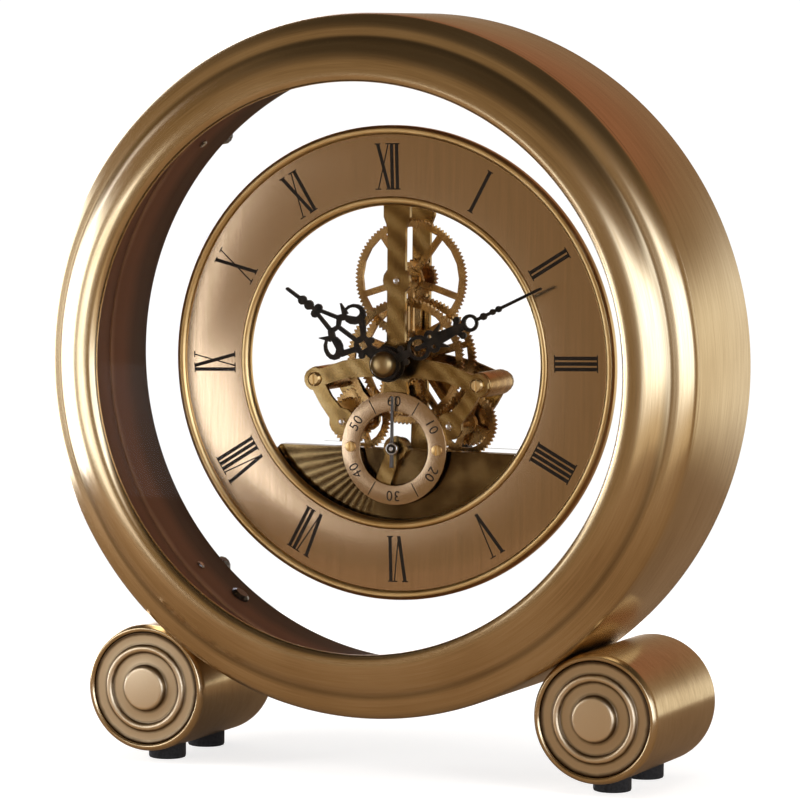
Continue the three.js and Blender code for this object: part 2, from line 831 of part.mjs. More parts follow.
const pillar = (x, z, radius) => {
  const body = rod(x, z, radius, pillarFront, pillarRear, 14);
  const frontBore = hole(x, z, plateScrewShank, pillarFront - 1, pillarFront + plateScrewBite, 0.1);
  const rearBore = hole(x, z, plateScrewShank + 0.2, pillarRear - plateScrewBite, pillarRear + 1, 0.1);
  return body.subtract(join(frontBore, rearBore));
};

const frontScrew = (x, z) => {
  const seat = frontPlateY;
  const top = seat - plateScrewHeight;
  const end = seat + plateScrewBite;
  const profile = screwProfile(plateScrewHead, plateScrewHeight, plateScrewShank, seat, end);
  const halfSlot = screwSlotWidth / 2;
  const reach = plateScrewHead + 1;
  const slot = box(x - halfSlot, x + halfSlot, top - 1, top + screwSlotDepth, z - reach, z + reach);
  return turned(profile, 12, x, z).subtract(slot);
};

const rearScrew = (x, z) => {
  const profile = [
    [0, paneRear + rearScrewHeight],
    [rearScrewHead * 0.8, paneRear + rearScrewHeight],
    [rearScrewHead, paneRear + rearScrewHeight * 0.5],
    [rearScrewHead, paneRear + seatGap / 2],
    [plateScrewShank, paneRear + seatGap / 2],
    [plateScrewShank, pillarRear - plateScrewBite + 0.5],
    [0, pillarRear - plateScrewBite + 0.5],
  ];
  return turned(profile, 12, x, z);
};

// Seconds dial

const secondsDialFront = frontPlateY - seatGap / 2 - secondsDialThickness;

const secondsDial = () => {
  const rear = secondsDialFront + secondsDialThickness;
  const ring = tube(secondsDialOpening, secondsDialRadius, secondsDialFront, rear, 36, 0, secondsAxisZ);
  const cuts = secondsScrewPlaces.map((x) =>
    hole(x, secondsAxisZ, secondsScrewShank, secondsDialFront - 1, rear + 1),
  );
  return ring.subtract(join(cuts));
};

const secondsScrew = (x) => {
  const profile = screwProfile(
    secondsScrewRadius,
    secondsScrewHeight,
    secondsScrewShank,
    secondsDialFront,
    frontPlateY + plateThickness,
  );
  return turned(profile, 10, x, secondsAxisZ);
};

// Hands, drawn along +Z from the hub and turned to their time

// The hour hand: beads, a forked neck, two scrolled loops with spurs, a diamond eye and a hub
const hourOutline = (front, rear) => {
  const round = (x, z, radius, segments = 10) => rod(x, z, radius, front, rear, segments);
  const strip = (from, to, widthFrom, widthTo) => bar(from, to, widthFrom, widthTo, front, rear);
  const forkZ = hourEyeZ + hourForkRise;
  const crossZ = hourEyeZ + hourCrossRise;
  const loopZ = hourEyeZ + hourLoopRise;
  const pieces = [
    strip([0, forkZ], [0, hourHandLength - hourTip], 2.4 * hourTip, 2 * hourTip),
    round(0, hourHandLength - hourTip, hourTip, 6),
    round(0, forkZ, 1.4),
    round(0, forkZ + 3.2, 1.6),
    round(0, forkZ + 5.9, 1.5),
    round(0, hourEyeZ, 3.1, 14),
    strip([0, hourEyeZ], [0, crossZ - 0.4], 1.3, 1.3),
    strip([0, 0], [0, hourEyeZ - 2], 5.2, 3.4),
    round(0, 0, hourHubRadius, 20),
  ];
  for (const sign of [-1, 1]) {
    const at = (x, z) => [sign * x, z];
    pieces.push(
      round(sign * 1.1, forkZ, 1.35, 8),
      strip(at(0.7, forkZ - 0.8), at(2.5, crossZ + 0.6), 1.1, 1.3),
      strip(at(0, crossZ - 0.6), at(2.6, crossZ + 0.6), 1.3, 1.7),
      strip(at(2.4, crossZ + 0.8), at(4.4, loopZ + 1.6), 2.0, 2.3),
      strip(at(4.6, loopZ + 2.2), at(6.7, loopZ + 5.6), 2.1, 0.3),
      strip(at(3.4, crossZ), at(6.2, loopZ - 3.6), 1.5, 2.2),
      strip(at(6.6, loopZ - 3.4), at(2.4, hourEyeZ + 1.4), 2.0, 1.7),
      round(sign * 2.9, hourEyeZ - 1.4, 1.1, 8),
    );
  }
  const rings = [-1, 1].map((sign) => scrollRing(sign * hourLoopX, loopZ, sign, front, rear));
  const eyeCorners = Array.from({ length: 4 }, (_, i) =>
    awayFrom([0, hourEyeZ], hourEyeHalf, i * 90 + eyeTurn),
  );
  return join(pieces, rings).subtract(slab(shapeOf(eyeCorners), front - 1, rear + 1));
};

// The minute hand: a tip, beads, an open ring, lobes, a spurred body with two eyes, a large ring and a hub
const minuteOutline = (front, rear) => {
  const round = (x, z, radius, segments = 10) => rod(x, z, radius, front, rear, segments);
  const strip = (from, to, widthFrom, widthTo) => bar(from, to, widthFrom, widthTo, front, rear);
  const tipZ = minuteHandLength - minuteTip;
  const pieces = [
    strip([0, tipRingZ + tipRingRadius - 0.4], [0, tipZ], 2.6 * minuteTip, 2 * minuteTip),
    round(0, tipZ, minuteTip, 6),
    round(0, minuteBeadZ, 1.15),
    round(0, minuteBeadZ + 3.4, 0.95),
    round(0, minuteBeadZ + 5.6, 1.0),
    round(0, tipRingZ, tipRingRadius, 16),
    strip([0, bodyEyeZ], [0, lobeZ + 1], 4.4, 2.4),
    round(0, hubRingZ, hubRingRadius, 18),
    strip([0, 0], [0, hubRingZ - hubRingRadius + 0.5], 3.4, 2.2),
    round(0, 0, minuteHubRadius, 20),
  ];
  const eyes = [
    rod(0, tipRingZ + 0.2, tipRingRadius - 1.1, front - 1, rear + 1, 14),
    rod(0, hubRingZ - 0.2, hubRingRadius - 1.1, front - 1, rear + 1, 14),
  ];
  for (const sign of [-1, 1]) {
    const at = (x, z) => [sign * x, z];
    pieces.push(
      strip([0, knobZ], at(knobX, knobZ), 1.2, 1.2),
      round(sign * knobX, knobZ, 1.05, 8),
      round(sign * bodyEyeX, bodyEyeZ, 2.0, 10),
      strip(at(1.6, bodyEyeZ + 1.4), at(3.8, bodyEyeZ + 4.6), 1.9, 0.4),
      strip(at(0.4, lobeZ - 1.6), at(lobeX, lobeZ), 1.5, 1.7),
      round(sign * lobeX, lobeZ, 1.15, 8),
    );
    eyes.push(rod(sign * bodyEyeX, bodyEyeZ - 0.1, 0.75, front - 1, rear + 1, 8));
  }
  return join(pieces).subtract(join(eyes)).add(join(hubRingSpine(front, rear)));
};

// The short spine that runs from the minute hand's body into its large ring
const hubRingSpine = (front, rear) => [
  bar([0, hubRingZ - 0.6], [0, bodyEyeZ], 1.0, 2.4, front, rear),
  rod(0, hubRingZ - 0.6, 0.9, front, rear, 8),
];

// One scroll of a hand: an oval band that leans outward, thicker on its hub side
const scrollRing = (x, z, sign, front, rear) => {
  const steps = 14;
  const lean = radians(sign * scrollLean);
  const outline = (long, wide, dx, dz) =>
    Array.from({ length: steps }, (_, i) => {
      const [a, b] = polar(1, (i * 2 * Math.PI) / steps);
      const across = a * wide * Math.cos(lean) - b * long * Math.sin(lean);
      const up = a * wide * Math.sin(lean) + b * long * Math.cos(lean);
      return [x + sign * dx + across, z + dz + up];
    });
  const shape = shapeOf(outline(3.9, 3.3, 0, -0.2));
  shape.holes.push(new THREE.Path(outline(2.5, 1.6, 0.2, 0.5).map(([u, v]) => new THREE.Vector2(u, v))));
  return slab(shape, front, rear);
};

const boredHand = (body, bore, front, rear) =>
  body.subtract(hole(0, 0, bore, front - 1, rear + 1, pressGap, 16));

const addHand = (name, body, angle) => {
  const mesh = new THREE.Mesh(geometryOf(body), blackMetal);
  mesh.name = name;
  mesh.rotation.y = radians(angle);
  clock.add(mesh);
};

const hourHand = () => {
  const rear = hourHandY + handThickness;
  return boredHand(hourOutline(hourHandY, rear), hourTubeRadius, hourHandY, rear);
};

const minuteHand = () => {
  const rear = minuteHandY + handThickness;
  return boredHand(minuteOutline(minuteHandY, rear), minuteArborRadius, minuteHandY, rear);
};

const handNut = () => {
  const rear = minuteHandY - seatGap / 2;
  const front = rear - handNutHeight;
  const profile = [
    [0, front],
    [handNutRadius * 0.45, front + 0.35],
    [handNutRadius * 0.8, front + 1.2],
    [handNutRadius, front + 2.4],
    [handNutRadius, rear],
    [0, rear],
  ];
  const bore = hole(0, 0, minuteArborRadius, minuteHandY - nutBite - seatGap, rear + 1, pressGap);
  return turned(profile, 20).subtract(bore);
};

const secondsArbor = () =>
  rod(0, secondsAxisZ, secondsArborRadius, secondHandY - 0.6, housingFront + housingPanel - 0.5);

const secondHand = () => {
  const front = secondHandY;
  const rear = secondHandY + secondHandThickness;
  const at = (z) => [0, secondsAxisZ + z];
  const blade = join(
    bar(at(0), at(secondHandLength), secondHandWidth, secondHandWidth * 0.5, front, rear),
    bar(at(0), at(-secondHandTail), secondHandWidth, secondHandWidth * 1.3, front, rear),
    rod(0, secondsAxisZ, secondHubRadius, front - 0.5, rear, 14),
  );
  return blade.subtract(hole(0, secondsAxisZ, secondsArborRadius, front - 2, rear + 1, pressGap));
};

// Drive housing

const panelRear = housingFront + housingPanel;
const bodyTop = housingTop - housingStep;
const bodyRear = paneFront - fineGap;
const blockRear = paneRear + blockProud;
const batteryY = blockRear - bayLid - batteryRadius;
const bayHalf = batteryLength / 2 + bayGap + contactRoom;
const bayHigh = batteryRadius + bayGap;

// The housing seen from the front: a straight top, two short sides and a round underside
const housingOutline = (top) => {
  const sideAngle = Math.acos(housingHalfWidth / housingBottomRadius);
  const underside = arcPoints(housingBottomRadius, -Math.PI + sideAngle, -sideAngle, 14);
  const corner = 2.5;
  return [
    ...underside,
    [housingHalfWidth, top - corner],
    [housingHalfWidth - corner, top],
    [-housingHalfWidth + corner, top],
    [-housingHalfWidth, top - corner],
  ];
};

const movementHousing = () => {
  const [driveX, driveZ] = driveAxis;
  const pocketRadius = tipRadius(driveTeeth, driveModule) + pocketGap;
  const pocketRear = sideWheelY + wheelThickness + pocketGap;
  const whole = join(
    slab(shapeOf(housingOutline(housingTop)), housingFront, panelRear),
    slab(shapeOf(housingOutline(bodyTop)), panelRear - 0.5, bodyRear),
    box(-blockHalfWidth, blockHalfWidth, bodyRear - 1, blockRear, blockBottom, bodyTop),
    rod(0, secondsAxisZ, secondsBearingRadius, housingFront, panelRear, 14),
    rod(driveX, driveZ, driveBossRadius, pocketRear, blockRear, 14),
  );
  const cuts = join(
    rod(driveX, driveZ, pocketRadius, panelRear, pocketRear, 16),
    box(driveX - pocketRadius, driveX + pocketRadius, panelRear, pocketRear, driveZ, bodyTop + 6),
    hole(driveX, driveZ, arborRadius, housingFront - 1, blockRear + 1),
    hole(0, secondsAxisZ, secondsArborRadius, housingFront - 1, panelRear + 1),
    box(-bayHalf, bayHalf, batteryY - bayHigh, blockRear + 1, batteryZ - bayHigh, batteryZ + bayHigh),
    box(
      driveBayX - driveBayWidth / 2,
      driveBayX + driveBayWidth / 2,
      blockRear - driveBayDepth,
      blockRear + 1,
      driveBayZ - driveBayHeight / 2,
      driveBayZ + driveBayHeight / 2,
    ),
  );
  return whole.subtract(cuts);
};

const battery = () => {
  const profile = [
    [0, -batteryLength / 2],
    [batteryRadius, -batteryLength / 2],
    [batteryRadius, batteryLength / 2 - 1.2],
    [2.6, batteryLength / 2 - 1.2],
    [2.6, batteryLength / 2],
    [0, batteryLength / 2],
  ];
  const geometry = new THREE.LatheGeometry(profile.map(([r, y]) => new THREE.Vector2(r, y)), 18);
  geometry.rotateZ(-Math.PI / 2);
  geometry.translate(0, batteryY, batteryZ);
  return solid(geometry);
};

const batteryCover = () => {
  const halfWidth = bayHalf + coverOverlap;
  const halfHeight = bayHigh + coverOverlap;
  const plate = box(
    -halfWidth,
    halfWidth,
    driveCoverFront,
    driveCoverRear,
    batteryZ - halfHeight,
    batteryZ + halfHeight,
  );
  const grip = [-1.6, 0, 1.6].map((dz) =>
    box(-5, 5, driveCoverRear - 0.2, driveCoverRear + 0.6, batteryZ + dz - 0.4, batteryZ + dz + 0.4),
  );
  return join(plate, grip);
};

const driveCover = () => {
  const [driveX, driveZ] = driveAxis;
  const low = driveBayZ - driveBayHeight / 2 - 0.6;
  const plate = box(
    driveBayX - driveBayWidth / 2 - coverOverlap,
    driveX + driveBossRadius,
    driveCoverFront,
    driveCoverRear,
    low,
    bodyTop - 0.4,
  );
  const round = rod(driveX, driveZ, driveBossRadius, driveCoverFront, driveCoverRear, 14);
  const bore = hole(driveX, driveZ, arborRadius, driveCoverFront - 1, driveCoverRear + 1);
  return join(plate, round).subtract(bore);
};

const settingKnob = () => {
  const [driveX, driveZ] = driveAxis;
  const front = driveCoverRear + knobGap;
  const rear = front + knobHeight;
  const outline = Array.from({ length: knobFlutes * 2 }, (_, i) =>
    polar(i % 2 ? knobRadius : knobRadius - 0.5, (i * Math.PI) / knobFlutes),
  );
  const grip = slab(shapeOf(outline), front, rear, driveAxis);
  return grip.subtract(hole(driveX, driveZ, arborRadius, front - 1, front + knobBite + 0.2, pressGap));
};

const coilY = blockRear - driveBayDepth + boardThickness + coilRadius + 1.0;

const driveCoil = () => {
  const geometry = new THREE.CylinderGeometry(coilRadius, coilRadius, coilLength, 14);
  geometry.rotateZ(Math.PI / 2);
  geometry.translate(driveBayX, coilY, driveBayZ);
  return solid(geometry);
};

const circuitBoard = () =>
  box(
    driveBayX - driveBayWidth / 2 + 0.4,
    driveBayX + driveBayWidth / 2 - 0.4,
    blockRear - driveBayDepth + seatGap,
    blockRear - driveBayDepth + seatGap + boardThickness,
    driveBayZ - driveBayHeight / 2 + 0.4,
    driveBayZ + driveBayHeight / 2 - 0.4,
  );

const rearPane = () => {
  const window = box(
    -blockHalfWidth - 0.4,
    blockHalfWidth + 0.4,
    paneFront - 1,
    paneRear + 1,
    blockBottom - 0.4,
    Math.max(bodyTop, driveAxis[1] + driveBossRadius) + 0.4,
  );
  const screwHoles = sideBosses.map(([x, z]) =>
    hole(x, z, plateScrewShank, paneFront - 1, paneRear + 1, seatGap),
  );
  return disc(paneRadius, paneFront, paneRear, caseSegments).subtract(join(window, screwHoles));
};

// Assembly

const assembleCase = () => {
  const screwBoreProfile = clearBore(coreScrewShank + 0.1, coreRadius - 2, coreOuter - 1);
  const screwBores = [];
  for (let i = 0; i < bumperCount; i += 1) {
    screwBores.push(radial(screwBoreProfile, 8, diagonal(i), coreScrewY));
  }
  const footAngles = [-90 - footSpread, -90 + footSpread];
  const boltBores = footAngles.map((angle) =>
    radial(clearBore(footBoltShank + seatGap, coreRadius - 2, drumRadius + 2), 12, angle, footBoltY),
  );
  add("front_bezel", frontBezel(), brushedBrass);
  add("front_glass", disc(glassRadius, glassFront, glassFront + glassThickness, caseSegments), clear);
  add("glass_sleeve", glassSleeve(), brownPaint);
  add("case_core", caseCore().subtract(join(screwBores, boltBores)), brownPaint);
  add("drum_band", drumBand().subtract(join(boltBores)), brushedBrass);
  add("rear_pane", rearPane(), clear);
  for (let i = 0; i < bumperCount; i += 1) {
    const [x, z] = polar(coreRadius - bumperReach + bumperRadius, radians(diagonal(i)));
    const bumper = rod(x, z, bumperRadius, coreLedge + 0.1, paneFront - 0.1, 14);
    add(`pane_bumper_${i + 1}`, bumper, clear);
    add(`core_screw_${i + 1}`, radial(coreScrewProfile, 8, diagonal(i), coreScrewY), silver);
  }
};

const assembleFeet = () => {
  for (const [side, sign] of [
    ["left", -1],
    ["right", 1],
  ]) {
    const angle = -90 + sign * footSpread;
    const x = sign * footX;
    const profile = screwProfile(
      footBoltHead,
      footBoltHeight,
      footBoltShank,
      coreFlat - seatGap / 2,
      drumRadius + footBoltBite,
    );
    add(`foot_${side}`, footBody(x, angle), brushedBrass);
    add(`foot_disc_${side}`, footDisc(x), brushedBrass);
    add(`foot_bolt_${side}`, radial(profile, 10, angle, footBoltY), silver);
    add(`foot_pad_${side}_front`, footPad(x, footFront + padInsetFront), rubber);
    add(`foot_pad_${side}_rear`, footPad(x, footRear - padInsetRear), rubber);
  }
};

const assembleMovement = () => {
  add("dial_ring", dialRing(), dialBrass);
  add("front_plate", frontPlate(), plateBrass);
  add("rear_plate", rearPlate(), plateBrass);
  for (const [side, sign] of [
    ["left", -1],
    ["right", 1],
  ]) {
    const x = sign * sideBossX;
    add(`pillar_${side}`, pillar(x, sideBossZ, pillarRadius), plateBrass);
    add(`plate_screw_${side}`, frontScrew(x, sideBossZ), polishedGold);
    add(`pane_screw_${side}`, rearScrew(x, sideBossZ), silver);
    add(`seconds_screw_${side}`, secondsScrew(sign * secondsScrewX), polishedGold);
  }
  add("pillar_top", rod(0, topPillarZ, topPillarRadius, pillarFront, pillarRear, 16), plateBrass);
  add("minute_arbor", minuteArbor(), silver);
  add("centre_wheel_front", centreWheel(frontModule, 0, frontWheelY), wheelBrass);
  add("centre_wheel_rear", centreWheel(rearModule, 0, rearWheelY), wheelBrass);
  add("upper_wheel", upperWheel(), wheelBrass);
  add("left_wheel", sideWheel(leftAxis, frontWheelY - 0.2, frontModule, leftSpokeTurn), wheelBrass);
  add("right_wheel", sideWheel(rightAxis, rearWheelY - 0.2, rearModule, rightSpokeTurn), wheelBrass);
  add("drive_wheel", driveWheel(), wheelBrass);
  add("motion_wheel", motionWheel(), wheelBrass);
  add("hour_wheel", hourWheel(), wheelBrass);
  add("seconds_dial", secondsDial(), dialBrass);
  add("seconds_arbor", secondsArbor(), silver);
  add("second_hand", secondHand(), silver);
  addHand("hour_hand", hourHand(), hourHandAngle);
  addHand("minute_hand", minuteHand(), minuteHandAngle);
  add("hand_nut", handNut(), polishedGold);
};

const assembleDrive = () => {
  add("movement_housing", movementHousing(), polishedGold);
  add("battery", battery(), batteryFilm);
  add("battery_cover", batteryCover(), blackMetal);
  add("drive_cover", driveCover(), blackMetal);
  add("setting_knob", settingKnob(), blackMetal);
  add("drive_coil", driveCoil(), copper);
  add("circuit_board", circuitBoard(), boardGreen);
};

assembleCase();
assembleFeet();
assembleMovement();
assembleDrive();

// The part's origin: on the floor, in the middle of the case's width and of its depth
clock.position.set(0, -(footRear - ridgeDepth) / 2, -floorZ);

const part = new THREE.Group();
part.add(clock);

export default part;
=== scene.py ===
# A skeleton desk clock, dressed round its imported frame. Metres, +Z up, the dial faces -Y.

import math

import bmesh
import bpy
from mathutils import Matrix, Vector


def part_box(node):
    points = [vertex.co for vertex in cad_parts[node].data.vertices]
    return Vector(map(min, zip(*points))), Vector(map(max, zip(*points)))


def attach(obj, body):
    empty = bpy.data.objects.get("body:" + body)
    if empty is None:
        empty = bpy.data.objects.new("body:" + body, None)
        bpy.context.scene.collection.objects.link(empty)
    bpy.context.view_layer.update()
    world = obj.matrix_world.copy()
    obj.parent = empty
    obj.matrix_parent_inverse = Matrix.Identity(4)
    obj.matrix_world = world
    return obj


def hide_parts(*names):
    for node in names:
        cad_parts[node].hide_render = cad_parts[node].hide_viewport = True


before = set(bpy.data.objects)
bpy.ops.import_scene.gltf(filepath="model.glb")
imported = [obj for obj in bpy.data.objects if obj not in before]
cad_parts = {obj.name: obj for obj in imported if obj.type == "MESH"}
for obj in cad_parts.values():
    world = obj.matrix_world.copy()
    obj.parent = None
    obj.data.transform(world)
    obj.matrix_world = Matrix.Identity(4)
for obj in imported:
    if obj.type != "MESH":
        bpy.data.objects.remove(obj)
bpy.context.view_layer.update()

# Sizes, from the dial's centre: R is a radius, Y a depth
MM = 0.001
DRUM_R = 110.1 * MM
DRUM_FRONT = -21.4 * MM
DRUM_REAR = 26.0 * MM
RIDGE_Y = -33.35 * MM
GROOVE_R = 102.4 * MM
CORE_R = 96.45 * MM
SLEEVE_REAR = -5.9 * MM
LEDGE_Y = 19.75 * MM
FOOT_R = 20.4 * MM
FOOT_FRONT = -20.3 * MM
FOOT_REAR = 35.7 * MM
FOOT_DISC_R = 17.9 * MM
PAD_R = 6.0 * MM
DIAL_FACE = -0.4 * MM
DIAL_BACK = 1.7 * MM
NUMERAL_INNER = 54.7 * MM
NUMERAL_OUTER = 69.3 * MM
SECONDS_Z = -27.1 * MM
SECONDS_R = 17.9 * MM
SECONDS_OPENING = 11.8 * MM
SECONDS_FRONT = 1.0 * MM
SECONDS_REAR = 1.8 * MM
POST_X = 36.0 * MM
POST_Z = -46.0 * MM
FAN_X = -3.0 * MM
FAN_Z = -27.0 * MM
RIBS_REAR = 8.0 * MM
DIAL_TURN = -1.85

# Steps round a turned piece
ROUND_STEPS = 256
FOOT_STEPS = 160
SMALL_STEPS = 128
PILLAR_STEPS = 64
COLLAR_STEPS = 48
PIN_STEPS = 32

# Degrees above which an edge is sharp, on plain pieces and on ones with soft curves
PLAIN_EDGE = 38
SOFT_EDGE = 60

# The dial's centre in the frame
bezel_low, bezel_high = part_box("front_bezel")
CENTRE = Vector((0, bezel_low.y - RIDGE_Y, (bezel_low.z + bezel_high.z) / 2))

# Camera, from the photograph
CAMERA_AT = (0.5941, -1.3811, 0.2375)
CAMERA_RIGHT = (0.9188, 0.3946, 0.0086)
CAMERA_UP = (-0.0391, 0.0692, 0.9968)
CAMERA_BACK = (0.3928, -0.9162, 0.0790)
CAMERA_LENS = 214.93
SENSOR = 36.0

# Room: the white makes up for what the two panes take, and the patches' edges are soft
FLOOR_R = 0.42
FLOOR_COLOUR = (0.45, 0.43, 0.41)
FLOOR_MIRRORED = (0.26, 0.165, 0.09)
MIRRORED_GLOW = 0.04
AMBIENT = (0.42, 0.41, 0.40)
WHITE = 1.05
WINDOW = (0.90, 0.96, 1.08)
PATCH_SOFT = 0.08
PATCH_SOFT_DEGREES = 8


# Nodes and materials

def new_material(name):
    material = bpy.data.materials.new(name)
    material.use_nodes = True
    tree = material.node_tree
    return material, tree, tree.nodes["Principled BSDF"]


def add(tree, kind, inputs=None, **settings):
    """A new node: settings are its properties, inputs its sockets' values or the sockets that feed them"""
    node = tree.nodes.new(kind)
    for key, value in settings.items():
        setattr(node, key, value)
    for socket, value in (inputs or {}).items():
        if isinstance(value, bpy.types.NodeSocket):
            tree.links.new(value, node.inputs[socket])
        else:
            node.inputs[socket].default_value = value
    return node


def maths(tree, operation, a, b=0.0):
    return add(tree, "ShaderNodeMath", {0: a, 1: b}, operation=operation).outputs[0]


def ramp(tree, factor, stops):
    """A colour ramp: stops are (place, colour or grey)"""
    node = add(tree, "ShaderNodeValToRGB", {0: factor})
    elements = node.color_ramp.elements
    while len(elements) < len(stops):
        elements.new(0.5)
    for element, (place, value) in zip(elements, stops):
        element.position = place
        colour = value if isinstance(value, tuple) else (value, value, value)
        element.color = (*colour, 1)
    return node.outputs[0]


def vary(tree, shader, socket, factor, stops):
    """Feeds one of the shader's sockets from a colour ramp"""
    tree.links.new(ramp(tree, factor, stops), shader.inputs[socket])


def shared(tree, first, share, second):
    """The first by its share and the second by the rest"""
    one = maths(tree, "MULTIPLY", first, share)
    other = maths(tree, "MULTIPLY", second, 1.0 - share)
    return maths(tree, "ADD", one, other)


def blend(tree, share, first, second, way="MIX"):
    """From the first colour at 0 to the second at 1"""
    inputs = {0: share, 6: first, 7: second}
    return add(tree, "ShaderNodeMix", inputs, data_type="RGBA", blend_type=way).outputs[2]


def noise(tree, vector, scale, detail):
    return add(tree, "ShaderNodeTexNoise", {"Vector": vector, "Scale": scale, "Detail": detail}).outputs[0]


def own_place(tree):
    return add(tree, "ShaderNodeTexCoord").outputs["Object"]


def split_xyz(tree, vector):
    return add(tree, "ShaderNodeSeparateXYZ", {0: vector}).outputs


def from_axis(tree, other=2):
    """The object's own place on the plane of X and the other axis, and how far that is from the middle"""
    place = split_xyz(tree, own_place(tree))
    flat = add(tree, "ShaderNodeCombineXYZ", {0: place[0], other: place[other]}).outputs[0]
    radius = add(tree, "ShaderNodeVectorMath", {0: flat}, operation="LENGTH").outputs["Value"]
    return flat, radius


def turned_lines(tree, fineness, length):
    """A vector whose noise makes lines round the object's own Y axis"""
    depth_share = 1.3
    flat, radius = from_axis(tree)
    around = add(tree, "ShaderNodeVectorMath", {0: flat}, operation="NORMALIZE").outputs[0]
    ring = split_xyz(tree, around)
    depth = maths(tree, "MULTIPLY", split_xyz(tree, own_place(tree))[1], depth_share)
    parts = {
        0: maths(tree, "MULTIPLY", ring[0], length),
        1: maths(tree, "MULTIPLY", maths(tree, "ADD", radius, depth), fineness),
        2: maths(tree, "MULTIPLY", ring[2], length),
    }
    return add(tree, "ShaderNodeCombineXYZ", parts).outputs[0]


def stretched(tree, x, y, z):
    """The object's own place, stretched along each axis"""
    return add(tree, "ShaderNodeMapping", {"Vector": own_place(tree), "Scale": (x, y, z)}).outputs[0]


def bump(tree, shader, height, strength, distance):
    node = add(tree, "ShaderNodeBump", {"Height": height, "Strength": strength, "Distance": distance})
    tree.links.new(node.outputs[0], shader.inputs["Normal"])


def metal(shader):
    shader.inputs["Metallic"].default_value = 1.0
    shader.inputs["Roughness"].default_value = 0.3


def brushed_along(tree, shader, axis, rotation, stretch):
    """Stretches the shine across brush lines: round the axis, and turned by a share of a full turn"""
    shader.inputs["Anisotropic"].default_value = stretch
    shader.inputs["Anisotropic Rotation"].default_value = rotation
    tangent = add(tree, "ShaderNodeTangent", direction_type="RADIAL", axis=axis).outputs[0]
    tree.links.new(tangent, shader.inputs["Tangent"])


def brushed_brass(name="brushed_brass", groove=False):
    """Antique brass, brushed round the axis, with a thin brown patina in patches, and darker in the bezel's
    groove: patina there, with painted shade of the hollow
    """
    material, tree, shader = new_material(name)
    metal(shader)
    fine = noise(tree, turned_lines(tree, 3200.0, 6.0), 1.0, 3.0)
    broad = noise(tree, turned_lines(tree, 420.0, 3.0), 1.0, 2.0)
    patches = noise(tree, own_place(tree), 22.0, 3.0)
    lines = shared(tree, fine, 0.6, broad)
    tone = shared(tree, lines, 0.6, patches)
    low = (0.50, 0.36, 0.19)
    mid = (0.64, 0.49, 0.285)
    high = (0.74, 0.60, 0.39)
    colour = ramp(tree, tone, [(0.34, low), (0.5, mid), (0.66, high)])
    # In the groove the colour is darkened: patina, and painted shade where the hollow lies in shade
    if groove:
        reach = 4 * MM
        away = maths(tree, "ABSOLUTE", maths(tree, "SUBTRACT", from_axis(tree)[1], GROOVE_R))
        groove_shade = ramp(tree, maths(tree, "DIVIDE", away, reach), [(0.05, 0.62), (0.40, 1.0)])
        colour = blend(tree, 1.0, colour, groove_shade, "MULTIPLY")
    tree.links.new(colour, shader.inputs["Base Color"])
    vary(tree, shader, "Roughness", lines, [(0.3, 0.26), (0.7, 0.19)])
    brushed_along(tree, shader, "Y", 0.25, 0.5)
    bump(tree, shader, lines, 0.10, 0.0001)
    return material


def patina_brass():
    """The feet's fronts: the same brass with brown patina in the corners of the turned rings"""
    material, tree, shader = new_material("patina_brass")
    metal(shader)
    full_r = 20 * MM
    lines = noise(tree, turned_lines(tree, 2400.0, 4.0), 1.0, 3.0)
    patches = noise(tree, own_place(tree), 330.0, 3.0)
    wobble = maths(tree, "MULTIPLY", maths(tree, "SUBTRACT", patches, 0.5), 0.025)
    place = maths(tree, "ADD", maths(tree, "DIVIDE", from_axis(tree)[1], full_r), wobble)
    light = (0.88, 0.73, 0.50)
    mid = (0.66, 0.53, 0.34)
    dark = (0.12, 0.08, 0.045)
    stops = [
        (0.0, light), (0.32, light), (0.36, dark), (0.42, mid), (0.53, mid), (0.575, dark), (0.60, light),
        (0.66, light), (0.69, dark), (0.74, mid), (0.83, mid), (0.875, dark), (0.91, dark),
    ]
    vary(tree, shader, "Base Color", place, stops)
    vary(tree, shader, "Roughness", lines, [(0.3, 0.45), (0.7, 0.36)])
    bump(tree, shader, lines, 0.12, 0.0001)
    return material


def dial_brass(name="dial_brass", light=1.0):
    """Pale golden brass with fine upright brushing"""
    material, tree, shader = new_material(name)
    metal(shader)
    fine = noise(tree, stretched(tree, 9000.0, 900.0, 60.0), 1.0, 2.0)
    broad = noise(tree, stretched(tree, 500.0, 100.0, 12.0), 1.0, 2.0)
    lines = shared(tree, fine, 0.7, broad)
    low = tuple(v * light for v in (0.53, 0.385, 0.235))
    high = tuple(v * light for v in (0.63, 0.47, 0.31))
    vary(tree, shader, "Base Color", lines, [(0.35, low), (0.65, high)])
    vary(tree, shader, "Roughness", lines, [(0.3, 0.18), (0.7, 0.145)])
    brushed_along(tree, shader, "Z", 0.0, 0.6)
    bump(tree, shader, lines, 0.02, 0.00005)
    return material


def polished_gold(name="polished_gold", light=1.0):
    """Polished gold-coloured brass with faint wipe marks"""
    material, tree, shader = new_material(name)
    metal(shader)
    marks = noise(tree, own_place(tree), 45.0, 2.0)
    low = tuple(v * light for v in (0.68, 0.46, 0.19))
    high = tuple(v * light for v in (0.82, 0.60, 0.29))
    vary(tree, shader, "Base Color", marks, [(0.35, low), (0.65, high)])
    vary(tree, shader, "Roughness", marks, [(0.35, 0.30), (0.7, 0.36)])
    return material


def wheel_brass():
    """Orange-brown brass of the wheels, lighter and darker in patches"""
    material, tree, shader = new_material("wheel_brass")
    metal(shader)
    patches = noise(tree, own_place(tree), 210.0, 4.0)
    stops = [(0.32, (0.33, 0.19, 0.07)), (0.5, (0.46, 0.285, 0.11)), (0.68, (0.61, 0.42, 0.19))]
    vary(tree, shader, "Base Color", patches, stops)
    vary(tree, shader, "Roughness", patches, [(0.3, 0.32), (0.7, 0.2)])
    bump(tree, shader, noise(tree, own_place(tree), 900.0, 2.0), 0.04, 0.0001)
    return material


